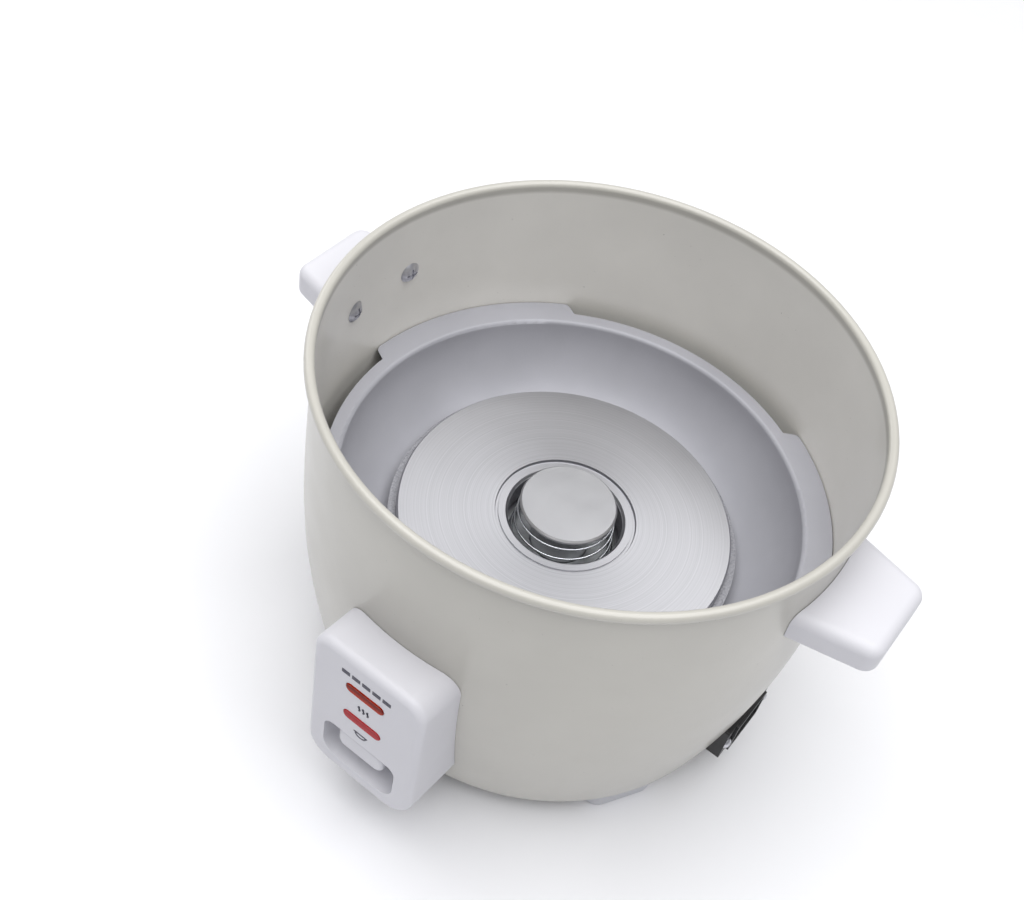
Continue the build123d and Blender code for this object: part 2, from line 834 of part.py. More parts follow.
def coil(wire, bottom_radius, top_radius, low, high, turns):
    """Compression spring between two heights, its wire inside both."""
    rise = high - low - 2 * wire
    pitch = rise / turns
    cone = degrees(atan2(top_radius - bottom_radius, rise))
    path = Helix(pitch, rise, bottom_radius, center=(0, 0, low + wire), cone_angle=cone)
    section = Plane(origin=path @ 0, z_dir=path % 0) * Circle(wire)
    return sweep(section, path=path, is_frenet=True)


# ================================================================ lever
def make_bracket():
    """Folded bracket under the pan that carries the lever's pin and the switch."""
    web_top = pan_under_z
    outer = bracket_inner + bracket_sheet
    wing = bracket_hole_x + 5.0
    web = block((-wing, wing), (pivot_y - bracket_web_half / 2, pivot_y + bracket_web_half / 2),
                (web_top - bracket_sheet, web_top))
    for side in (-1, 1):
        web -= drum(small_screw_radius + hole_gap, web_top - 5, web_top + 1,
                    side * bracket_hole_x, pivot_y)
    low = pivot_z - bracket_cheek_half
    left = block((-outer, -bracket_inner),
                 (pivot_y - bracket_cheek_half, pivot_y + bracket_cheek_half), (low, web_top))
    plate_low = switch_top() - switch_height - 1
    far = switch_middle_y() - switch_length / 2 - 1
    near = pivot_y + bracket_cheek_half
    right = side_slab([
        (near, web_top),
        (near, low),
        (pivot_y - bracket_cheek_half, plate_low),
        (far, plate_low),
        (far, switch_top() - 0.5),
        (pivot_y - bracket_cheek_half - 1, switch_top() - 0.5),
        (pivot_y - bracket_cheek_half, web_top),
    ], bracket_inner, outer)
    bracket = web + left + right
    bracket -= rod(pin_radius + 0.02, (-outer - 1, pivot_y, pivot_z), (1, 0, 0), 2 * outer + 2)
    for y, z in switch_screw_places():
        bracket -= rod(switch_screw_radius + hole_gap, (bracket_inner - 1, y, z), (1, 0, 0),
                       bracket_sheet + 2)
    return bracket


def switch_top():
    """Height of the switch's top face, under the lever's outer arm."""
    return outer_arm_z - arm_thick / 2 - running_gap - plunger_stand


def switch_middle_y():
    """Middle of the switch along Y: its plunger is off centre, towards the pivot."""
    return pivot_y - plunger_reach - switch_offset


def switch_screw_places():
    """Two screws across the switch's body: (y, z)."""
    y, z = switch_middle_y(), switch_top() - switch_height / 2
    return [
        (y - switch_screw_x / 2, z - switch_screw_z / 2),
        (y + switch_screw_x / 2, z + switch_screw_z / 2 - 1.5),
    ]


def make_lever():
    """Joggled steel lever from the magnet's rod to the key."""
    half = arm_thick / 2
    inner_end = rod_radius + 2.5
    near, far = pivot_y - 7.0, pivot_y - 15.0
    tip = key_back_y() - key_depth * 0.6
    lever = side_slab([
        (inner_end, pivot_z - half),
        (inner_end, pivot_z + half),
        (near, pivot_z + half),
        (far, outer_arm_z + half),
        (tip, outer_arm_z + half),
        (tip, outer_arm_z - half),
        (far - 1, outer_arm_z - half),
        (near - 1, pivot_z - half),
    ], -arm_half_width, arm_half_width)
    eye_half = bracket_inner - running_gap
    lever += rod(eye_radius, (-eye_half, pivot_y, pivot_z), (1, 0, 0), 2 * eye_half)
    lever -= rod(pin_radius + pin_gap, (-eye_half - 1, pivot_y, pivot_z), (1, 0, 0),
                 2 * eye_half + 2)
    return lever


def make_pin():
    """Pivot pin through the bracket's cheeks, with a head."""
    pin = rod(pin_radius, (-pin_length / 2, pivot_y, pivot_z), (1, 0, 0), pin_length)
    outer = bracket_inner + bracket_sheet
    return pin + rod(pin_radius + 1.1, (outer, pivot_y, pivot_z), (1, 0, 0), 1.0)


def key_back_y():
    """Back of the key along Y."""
    return face_y + key_sink + key_depth


def make_key():
    """Moulded key on the lever's outer end."""
    front = face_y + key_sink
    low, high = key_z - key_height / 2, key_z + key_height / 2
    key = block((-key_width / 2, key_width / 2), (front, front + key_depth), (low, high))
    key = fillet(key.edges().filter_by(Axis.Y), key_corner)
    key = fillet(key.faces().sort_by(Axis.Y)[0].edges(), key_edge)
    half = arm_thick / 2 + key_socket_gap
    tip = key_back_y() - key_depth * 0.6 - key_socket_gap
    socket = block((-arm_half_width - key_socket_gap, arm_half_width + key_socket_gap),
                   (tip, front + key_depth + 1), (outer_arm_z - half, outer_arm_z + half))
    return key - socket


# ================================================================ switch
def make_switch_body():
    """Snap switch body with its plunger's well and screw holes."""
    y, top = switch_middle_y(), switch_top()
    right = bracket_inner
    body = block((right - switch_width, right), (y - switch_length / 2, y + switch_length / 2),
                 (top - switch_height, top))
    body = chamfer(body.edges().filter_by(Axis.X), 0.8)
    plunger_y = pivot_y - plunger_reach
    body -= drum(plunger_radius + running_gap, top - plunger_depth - 3.2, top + 1,
                 right - switch_width / 2, plunger_y)
    for screw_y, screw_z in switch_screw_places():
        body -= rod(switch_screw_radius + hole_gap, (right - switch_width - 1, screw_y, screw_z),
                    (1, 0, 0), switch_width + 2)
    return body


def make_plunger():
    """Round plunger under the lever's arm."""
    top = switch_top() + plunger_stand
    x, y = bracket_inner - switch_width / 2, pivot_y - plunger_reach
    return (drum(plunger_radius, switch_top() - plunger_depth, top - 0.6, x, y)
            + Pos(x, y, top - plunger_radius) * Sphere(plunger_radius))


def switch_tab_places():
    """The switch's three spades along Y."""
    y = switch_middle_y()
    return [y - 9.0, y, y + 9.0]


def make_switch_terminals():
    """Three spades under the switch."""
    x = bracket_inner - switch_width / 2
    low = switch_top() - switch_height
    return [flat_tab(x, y, low, tab_length, along_x=False) for y in switch_tab_places()]


def make_switch_screws():
    """Two screws through the bracket and the switch."""
    screw = cross_screw(switch_screw_radius, bracket_sheet + switch_width - 0.5,
                        small_screw_head, small_screw_head_height)
    seat = bracket_inner + bracket_sheet
    return [screw_at(screw, (seat, y, z), (1, 0, 0)) for y, z in switch_screw_places()]


def make_bracket_screws():
    """Two screws from inside the pan into the bracket's wings."""
    screw = cross_screw(small_screw_radius, pan_sheet + bracket_sheet + 3, small_screw_head,
                        small_screw_head_height)
    return [screw_at(screw, (side * bracket_hole_x, pivot_y, pan_floor_z), (0, 0, 1))
            for side in (-1, 1)]


# ================================================================ control box
def box_section(y, half, low, high, inset, top_corner, bottom_corner):
    """Rounded outline of the box in the plane at y."""
    width = 2 * (half - inset)
    height = high - low - 2 * inset
    outline = Rectangle(width, height)
    top = outline.vertices().sort_by(Axis.Y)[-2:]
    outline = fillet(top, max(top_corner - inset, 1.0))
    bottom = outline.vertices().sort_by(Axis.Y)[:2]
    outline = fillet(bottom, max(bottom_corner - inset, 1.0))
    place = Plane(origin=(0, y, (low + high) / 2), x_dir=(1, 0, 0), z_dir=(0, -1, 0))
    return place * outline


def box_block(inset, front_y):
    """Flared block from the face back into the shell's space."""
    back_y = face_y + box_back_reach
    front = box_section(front_y, box_width / 2, box_bottom_z, box_top_z, inset,
                        box_top_corner, box_bottom_corner)
    back = box_section(back_y, box_width / 2 + box_flare, box_bottom_z - box_sag,
                       box_top_z - box_top_fall, inset, box_top_corner, box_bottom_corner)
    return loft([front, back])


def capsule(y, z, length, height, depth):
    """Round-ended bar along X, from y towards +Y."""
    outline = SlotOverall(length, height)
    place = Plane(origin=(0, y, z), x_dir=(1, 0, 0), z_dir=(0, -1, 0))
    return extrude(place * outline, amount=-depth)


def recess_block(grow, front_y, depth):
    """Rounded pocket in the face round the key, with its bottom rising towards the back."""
    low, high = key_z - recess_bottom - grow, key_z + recess_top + grow
    slope = recess_rise / recess_depth
    sections = []
    for y in (front_y, front_y + depth):
        sections.append(box_section(y, recess_half + grow, low + slope * (y - face_y), high, 0,
                                    recess_top_corner + grow, recess_bottom_corner + grow))
    return loft(sections)


def make_control_box(shell_space):
    """Moulded housing on the front: lamp windows, key recess and screw bosses."""
    outer = box_block(0, face_y)
    outer = fillet(outer.faces().sort_by(Axis.Y)[0].edges(), box_edge)
    inner = box_block(box_wall, face_y + box_wall)
    for x, z in box_screw_places():
        inner -= rod(boss_radius, (x, face_y, z), (0, 1, 0), box_back_reach + 1)
    recess_back = face_y + recess_depth
    inner -= recess_block(recess_wall, face_y, recess_depth + recess_wall)
    box = outer - inner - shell_space
    box -= recess_block(0, face_y - 1, recess_depth + 1)
    slot_low = outer_arm_z - slot_below
    slot_high = outer_arm_z + box_slot_above
    box -= block((-slot_half, slot_half), (recess_back - 1, recess_back + recess_wall + 1),
                 (slot_low, slot_high))
    for z in lens_heights():
        box -= capsule(face_y - 1, z, lens_length + 2 * lens_gap, lens_height + 2 * lens_gap,
                       box_wall + 2)
    for x, z in box_screw_places():
        box -= rod(screw_radius + pin_gap, (x, face_y + box_wall + 2, z), (0, 1, 0),
                   box_back_reach)
    return box


def lens_heights():
    """Heights of the keep-warm lens and the cooking lens."""
    return (plate_z + warm_above_plate, plate_z - cook_below_plate)


def make_lens(z):
    """Coloured lens with a flange behind the face."""
    window = capsule(face_y - lens_proud, z, lens_length, lens_height, lens_proud + box_wall)
    front = window.faces().sort_by(Axis.Y)[0].edges()
    window = fillet(front, 0.5)
    flange = capsule(face_y + box_wall, z, lens_length + 2 * lens_flange,
                     lens_height + 2 * lens_flange, 1.2)
    pocket = capsule(face_y + box_wall - 0.4, z, lens_length - 3, lens_height - 2, 3)
    return window + flange - pocket


def lamp_y():
    """Axis of the neon lamps along Y."""
    return face_y + box_wall + 1.2 + lamp_back


def make_lamp(z):
    """Neon lamp behind a lens, with a pinched tip."""
    bulb = rod(lamp_radius, (-lamp_length / 2, lamp_y(), z), (1, 0, 0), lamp_length)
    bulb = fillet(bulb.edges().filter_by(GeomType.CIRCLE), 0.9)
    return bulb + Pos(lamp_length / 2 + 0.6, lamp_y(), z) * Sphere(0.9)


def make_lamp_holder():
    """Tray behind the lenses with a saddle for each lamp."""
    warm, cook = lens_heights()
    margin = lens_height / 2 + lens_flange + holder_gap + holder_sheet
    half = lens_length / 2 + lens_flange + holder_gap + holder_sheet
    low, high = cook - margin, warm + margin
    front = face_y + box_wall
    back = front + holder_depth
    tray = block((-half, half), (front, back), (low, high))
    tray -= block((-half + holder_sheet, half - holder_sheet),
                  (front - 1, back - holder_sheet), (low + holder_sheet, high - holder_sheet))
    middle = (warm + cook) / 2
    tray += block((-half, half), (front, back),
                  (middle - holder_sheet / 2, middle + holder_sheet / 2))
    for z in (warm, cook):
        saddle = block((-4.0, 4.0), (lamp_y(), back), (z - 1.6, z + 1.6))
        tray += saddle - rod(lamp_radius + pin_gap, (-8, lamp_y(), z), (1, 0, 0), 16)
        tray -= rod(1.0, (-8.5, back - holder_sheet - 1, z), (0, 1, 0), holder_sheet + 2)
    return tray


def make_box_screws():
    """Four screws from inside the shell into the box's bosses."""
    screw = cross_screw(screw_radius, box_screw_length, screw_head, screw_head_height)
    solids = []
    for x, z in box_screw_places():
        deep = sqrt(inner_seat(z, screw_head) ** 2 - (abs(x) + screw_head) ** 2)
        solids.append(screw_at(screw, (x, -deep + 0.05, z), (0, 1, 0)))
    return solids


# ================================================================ handles
def handle_plan(inset):
    """Outline of a handle seen from above, its root inside the shell."""
    tip = belly_radius + handle_reach - inset
    root = belly_radius - handle_root_in
    wall_x = sqrt(belly_radius ** 2 - handle_root_half ** 2)
    slope = (handle_root_half - handle_tip_half) / (belly_radius + handle_reach - wall_x)
    tip_half = handle_tip_half - inset + slope * inset
    root_half = handle_root_half - inset + slope * (wall_x - root)
    plan = make_face(Polyline((root, -root_half), (tip, -tip_half), (tip, tip_half),
                              (root, root_half), close=True))
    corners = plan.vertices().sort_by(Axis.X)[-2:]
    return fillet(corners, handle_tip_corner - inset)


def make_handle(shell_space, pocket_space):
    """Hollow ear handle at +X with two screw bosses."""
    low = handle_z - handle_height / 2
    solid = Pos(0, 0, low) * extrude(handle_plan(0), amount=handle_height)
    tip_edges = [e for e in solid.faces().sort_by(Axis.Z)[-1].edges()
                 if e.center().X > belly_radius - handle_root_in + 1]
    solid = fillet(tip_edges, handle_top_edge)
    tip_edges = [e for e in solid.faces().sort_by(Axis.Z)[0].edges()
                 if e.center().X > belly_radius - handle_root_in + 1]
    solid = fillet(tip_edges, handle_low_edge)
    pocket = Pos(0, 0, low - 1) * extrude(handle_plan(handle_wall),
                                          amount=handle_height + 1 - handle_wall)
    pocket -= pocket_space
    for turn in (-handle_screw_deg, handle_screw_deg):
        pocket -= rod(handle_boss, (0, 0, handle_z + handle_screw_up), around(turn, 1),
                      belly_radius + handle_screw_bite + 4)
    solid = solid - pocket - shell_space
    for turn in (-handle_screw_deg, handle_screw_deg):
        solid -= rod(screw_radius + pin_gap, (0, 0, handle_z + handle_screw_up),
                     around(turn, 1), belly_radius + handle_screw_bite + 1)
    return solid


def make_handle_screws():
    """Two domed screws inside the shell for each handle."""
    z = handle_z + handle_screw_up
    head = handle_screw_head
    screw = cross_screw(screw_radius, sheet + handle_screw_bite, head, handle_screw_head_height)
    edge = sqrt(inner_seat(z, head) ** 2 - head ** 2)
    solids = []
    for side in (0, 180):
        for turn in (-handle_screw_deg, handle_screw_deg):
            seat = around(side + turn, edge, z)
            out = around(side + turn + 180, 1)
            solids.append(screw_at(screw, seat, out))
    return solids


# ================================================================ power inlet
def inlet_outline(width, height, x, corner):
    """Rounded rectangle in the plane at x, facing +X."""
    outline = RectangleRounded(width, height, corner)
    return Plane(origin=(x, 0, inlet_z), x_dir=(0, 1, 0), z_dir=(1, 0, 0)) * outline


def make_inlet():
    """Appliance inlet: a block through the shell's window with a proud shroud."""
    body = extrude(inlet_outline(inlet_width, inlet_height, inlet_face, 1.0), amount=-inlet_depth)
    body += extrude(inlet_outline(shroud_width, inlet_height - 1, inlet_face, 2.0),
                    amount=shroud_proud)
    mouth = inlet_face + shroud_proud
    body -= extrude(inlet_outline(socket_width, socket_height, mouth + 0.01, socket_corner),
                    amount=-socket_depth)
    for y, z in inlet_pin_places():
        body -= block((inlet_face - inlet_depth - 1, inlet_face),
                      (y - inlet_pin_thick / 2, y + inlet_pin_thick / 2),
                      (z - inlet_pin_width / 2, z + inlet_pin_width / 2))
    for side in (-1, 1):
        y = side * inlet_screw_pitch / 2
        body -= rod(small_screw_radius + pin_gap, (inlet_face - inlet_depth - 1, y, inlet_z),
                    (1, 0, 0), inlet_depth + 2)
    return body


def inlet_pin_places():
    """Live, earth and neutral pins: (y, z)."""
    low, high = inlet_z - inlet_pin_offset, inlet_z + inlet_pin_offset
    return [(-inlet_pin_pitch, low), (0.0, high), (inlet_pin_pitch, low)]


def make_inlet_pins():
    """Three flat pins with spade tails behind the inlet."""
    mouth = inlet_face + shroud_proud
    back = inlet_face - inlet_depth
    solids = []
    for y, z in inlet_pin_places():
        solids.append(block((back - inlet_tail, mouth - inlet_pin_stop),
                            (y - inlet_pin_thick / 2, y + inlet_pin_thick / 2),
                            (z - inlet_pin_width / 2, z + inlet_pin_width / 2)))
    return solids


def make_inlet_strap():
    """Bent strap on the shell's lip behind the inlet."""
    back = inlet_face - inlet_depth
    half = inlet_width / 2 + 1
    low = floor_gap + sheet
    strap = block((back - strap_sheet, back), (-half, half),
                  (inlet_z - inlet_height / 2, inlet_z + inlet_height / 2))
    strap += block((back - strap_sheet, back), (-strap_leg_half, strap_leg_half), (low, inlet_z))
    strap += block((lip_radius + 0.5, back), (-strap_leg_half, strap_leg_half),
                   (low, low + strap_sheet))
    strap -= block((back - 5, back + 1), (-13, 13), (inlet_z - 8, inlet_z + 8))
    for side in (-1, 1):
        strap -= rod(small_screw_radius + pin_gap, (back - 5, side * inlet_screw_pitch / 2, inlet_z),
                     (1, 0, 0), 8)
    return strap


def make_inlet_screws():
    """Two long screws through the inlet into its strap."""
    screw = cross_screw(small_screw_radius, inlet_depth + strap_sheet + 1.5, small_screw_head,
                        small_screw_head_height)
    return [screw_at(screw, (inlet_face, side * inlet_screw_pitch / 2, inlet_z), (1, 0, 0))
            for side in (-1, 1)]


# ================================================================ small electrics
def make_warmer():
    """Keep-warm thermostat: a round body with an eared flange, and two spades."""
    top = pan_under_z
    flange = SlotOverall(2 * warmer_ear, 7.0)
    flange = Pos(warmer_x, warmer_y, top - 1.0) * (Rot(0, 0, 90) * extrude(flange, amount=1.0))
    body = drum(warmer_radius, top - warmer_height, top - 0.2, warmer_x, warmer_y)
    solid = flange + body
    for side in (-1, 1):
        solid -= drum(small_screw_radius + hole_gap, top - 3, top + 1, warmer_x,
                      warmer_y + side * (warmer_ear - 2.6))
        solid += block((warmer_x + side * 4 - tab_thick / 2, warmer_x + side * 4 + tab_thick / 2),
                       (warmer_y - tab_width / 2, warmer_y + tab_width / 2),
                       (top - warmer_height - tab_length, top - warmer_height + 1))
    return solid


def make_warmer_screws():
    """Two screws from inside the pan into the warmer's ears."""
    screw = cross_screw(small_screw_radius, pan_sheet + 3, small_screw_head,
                        small_screw_head_height)
    return [screw_at(screw, (warmer_x, warmer_y + side * (warmer_ear - 2.6), pan_floor_z),
                     (0, 0, 1)) for side in (-1, 1)]


def fuse_z():
    """Height of the thermal fuse's axis."""
    return pan_under_z - fuse_radius - fuse_clip_sheet - 0.2


def make_fuse():
    """Thermal fuse: a can with a lead at each end."""
    can = rod(fuse_radius, (fuse_x - fuse_length / 2, fuse_y, fuse_z()), (1, 0, 0), fuse_length)
    return can + rod(0.5, (fuse_x - fuse_length / 2 - 5, fuse_y, fuse_z()), (1, 0, 0),
                     fuse_length + 10)


def make_fuse_clip():
    """Strap round the fuse, screwed under the pan."""
    outer = fuse_radius + pin_gap + fuse_clip_sheet
    z = fuse_z()
    strap = block((fuse_x - 4, fuse_x + 4), (fuse_y - outer, fuse_y + outer), (z, pan_under_z))
    strap += rod(outer, (fuse_x - 4, fuse_y, z), (1, 0, 0), 8)
    strap += block((fuse_x - 4, fuse_x + 4), (fuse_y, fuse_y + 12.5),
                   (pan_under_z - fuse_clip_sheet, pan_under_z))
    strap -= rod(fuse_radius + pin_gap, (fuse_x - 5, fuse_y, z), (1, 0, 0), 10)
    strap -= drum(small_screw_radius + hole_gap, pan_under_z - 3, pan_under_z + 1, fuse_x,
                  fuse_y + 9.0)
    return strap


def make_floor_screws():
    """Screws for the fuse's clip and the earth tag."""
    screw = cross_screw(small_screw_radius, pan_sheet + 3.4, small_screw_head,
                        small_screw_head_height)
    places = ((fuse_x, fuse_y + 9.0), (earth_x, earth_y))
    return [screw_at(screw, (x, y, pan_floor_z), (0, 0, 1)) for x, y in places]


def make_earth_tag():
    """Earth tag under the pan's floor with a spade hanging down."""
    top = pan_under_z
    tag = block((earth_x - 4, earth_x + 8), (earth_y - tab_width / 2, earth_y + tab_width / 2),
                (top - tab_thick, top))
    tag -= drum(small_screw_radius + hole_gap, top - 3, top + 1, earth_x, earth_y)
    tag += block((earth_x + 8 - tab_thick, earth_x + 8),
                 (earth_y - tab_width / 2, earth_y + tab_width / 2),
                 (top - tab_length - 2, top))
    return tag


if __name__ == "__main__":
    shell_space = envelope(seat_gap)
    pocket_space = envelope(seat_gap + handle_wall)
    handle = make_handle(shell_space, pocket_space)
    foot_names = ("front_left_foot", "front_right_foot", "rear_foot")
    screws, nuts = foot_screws_and_nuts()
    posts, plate_screws = make_posts()
    warm_z, cook_z = lens_heights()
    rest_low = cap_z - cap_thick

    save("outer_body", make_shell())
    save("bottom_plate", make_bottom_plate())
    for name, azimuth in zip(foot_names, foot_azimuths):
        save(name, make_foot(azimuth, shell_space))
    save("foot_screws", *screws)
    save("foot_nuts", *nuts)
    save("inner_pan", make_pan())
    save("heating_plate", make_plate())
    save("heating_element", make_element())
    save("element_terminals", *make_element_terminals())
    save("element_bushes", *make_bushes())
    save("plate_posts", *posts)
    save("plate_screws", *plate_screws)
    save("thermostat_cap", make_cap())
    save("thermostat_sleeve", make_sleeve())
    save("thermostat_ferrite", make_ferrite())
    save("thermostat_guide", make_guide())
    save("thermostat_spring", coil(head_spring_wire, head_spring_bottom, head_spring_top,
                                   guide_top + 0.05, rest_low - 0.05, head_spring_turns))
    save("permanent_magnet", make_magnet())
    save("magnet_carrier", make_carrier())
    save("magnet_spring", coil(magnet_spring_wire, magnet_spring_radius, magnet_spring_radius,
                               carrier_top + 0.05, rest_low - 0.05, magnet_spring_turns))
    save("lever_bracket", make_bracket())
    save("bracket_screws", *make_bracket_screws())
    save("lever_pin", make_pin())
    save("cook_lever", make_lever())
    save("cook_key", make_key())
    save("switch_body", make_switch_body())
    save("switch_plunger", make_plunger())
    save("switch_terminals", *make_switch_terminals())
    save("switch_screws", *make_switch_screws())
    save("control_box", make_control_box(shell_space))
    save("control_box_screws", *make_box_screws())
    save("warm_lens", make_lens(warm_z))
    save("cook_lens", make_lens(cook_z))
    save("warm_lamp", make_lamp(warm_z))
    save("cook_lamp", make_lamp(cook_z))
    save("lamp_holder", make_lamp_holder())
    save("right_handle", handle)
    save("left_handle", Rot(0, 0, 180) * handle)
    save("handle_screws", *make_handle_screws())
    save("power_inlet", make_inlet())
    save("inlet_pins", *make_inlet_pins())
    save("inlet_strap", make_inlet_strap())
    save("inlet_screws", *make_inlet_screws())
    save("keep_warm_thermostat", make_warmer())
    save("warmer_screws", *make_warmer_screws())
    save("thermal_fuse", make_fuse())
    save("fuse_clip", make_fuse_clip())
    save("floor_screws", *make_floor_screws())
    save("earth_tag", make_earth_tag())
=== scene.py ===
"""Studio scene of an electric rice cooker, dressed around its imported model.

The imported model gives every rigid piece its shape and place.  This file gives each piece its finish,
winds the springs that the joints squeeze, puts plain raised symbols on the control box, and sets up the
floor, the light and the camera.
"""

import logging
import math
from dataclasses import dataclass, field
from enum import Enum

import bmesh
import bpy
from mathutils import Matrix, Vector


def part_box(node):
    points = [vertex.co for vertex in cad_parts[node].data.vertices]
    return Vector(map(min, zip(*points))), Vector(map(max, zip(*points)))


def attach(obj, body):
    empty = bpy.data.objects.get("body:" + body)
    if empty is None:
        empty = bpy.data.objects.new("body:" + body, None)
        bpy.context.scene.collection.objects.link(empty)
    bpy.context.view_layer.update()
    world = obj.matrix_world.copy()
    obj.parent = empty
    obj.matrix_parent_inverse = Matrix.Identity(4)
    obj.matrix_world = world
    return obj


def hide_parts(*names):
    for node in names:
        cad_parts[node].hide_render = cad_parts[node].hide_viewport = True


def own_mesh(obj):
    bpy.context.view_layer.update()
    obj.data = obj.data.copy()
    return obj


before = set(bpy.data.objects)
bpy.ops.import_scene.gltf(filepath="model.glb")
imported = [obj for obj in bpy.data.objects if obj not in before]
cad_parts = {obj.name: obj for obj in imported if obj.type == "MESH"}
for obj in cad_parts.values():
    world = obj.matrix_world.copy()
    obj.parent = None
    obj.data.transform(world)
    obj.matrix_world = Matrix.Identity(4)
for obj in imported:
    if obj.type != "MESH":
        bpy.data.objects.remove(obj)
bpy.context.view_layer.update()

log = logging.getLogger("rice_cooker")

Colour = tuple[float, float, float]
Socket = bpy.types.NodeSocket

MM = 0.001
DRIFT_LOW, DRIFT_HIGH = 0.3, 0.7  # the stretch of a noise's values that a finish spreads over


# -------------------------------------------------------------------------------- choices
class Body(Enum):
    """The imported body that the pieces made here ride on."""

    BASE = "base"


class Slot(Enum):
    """The record's material slots."""

    BODY_ENAMEL = "body_enamel"
    PAN_GREY = "pan_grey"
    CAST_ALUMINIUM = "cast_aluminium"
    CAP_ALUMINIUM = "cap_aluminium"
    SPRING_STEEL = "spring_steel"
    WHITE_PLASTIC = "white_plastic"
    FOOT_PLASTIC = "foot_plastic"
    HOLDER_PLASTIC = "holder_plastic"
    BLACK_PLASTIC = "black_plastic"
    RED_PLASTIC = "red_plastic"
    AMBER_LENS = "amber_lens"
    RED_LENS = "red_lens"
    NICKEL_BRASS = "nickel_brass"
    CERAMIC_WHITE = "ceramic_white"
    FERRITE_BLACK = "ferrite_black"
    LAMP_GLASS = "lamp_glass"
    FUSE_METAL = "fuse_metal"
    GALVANISED_STEEL = "galvanised_steel"
    ELEMENT_STEEL = "element_steel"
    SCREW_STEEL = "screw_steel"


# -------------------------------------------------------------------------------- node trees
def linear(colour: Colour) -> tuple[float, float, float, float]:
    """Turn a display colour into the linear colour that a shader takes.

    Args:
        colour: red, green and blue from 0 to 1, as a screen shows them.

    Returns:
        Linear red, green, blue and a full alpha.
    """
    parts = [c / 12.92 if c <= 0.04045 else ((c + 0.055) / 1.055) ** 2.4 for c in colour]
    return (parts[0], parts[1], parts[2], 1.0)


def shade(colour: Colour, factor: float) -> Colour:
    """Lighten or darken a display colour.

    Args:
        colour: the colour to start from.
        factor: above 1 is lighter, below 1 is darker.

    Returns:
        The new colour, held between 0 and 1.
    """
    return tuple(min(1.0, max(0.0, c * factor)) for c in colour)


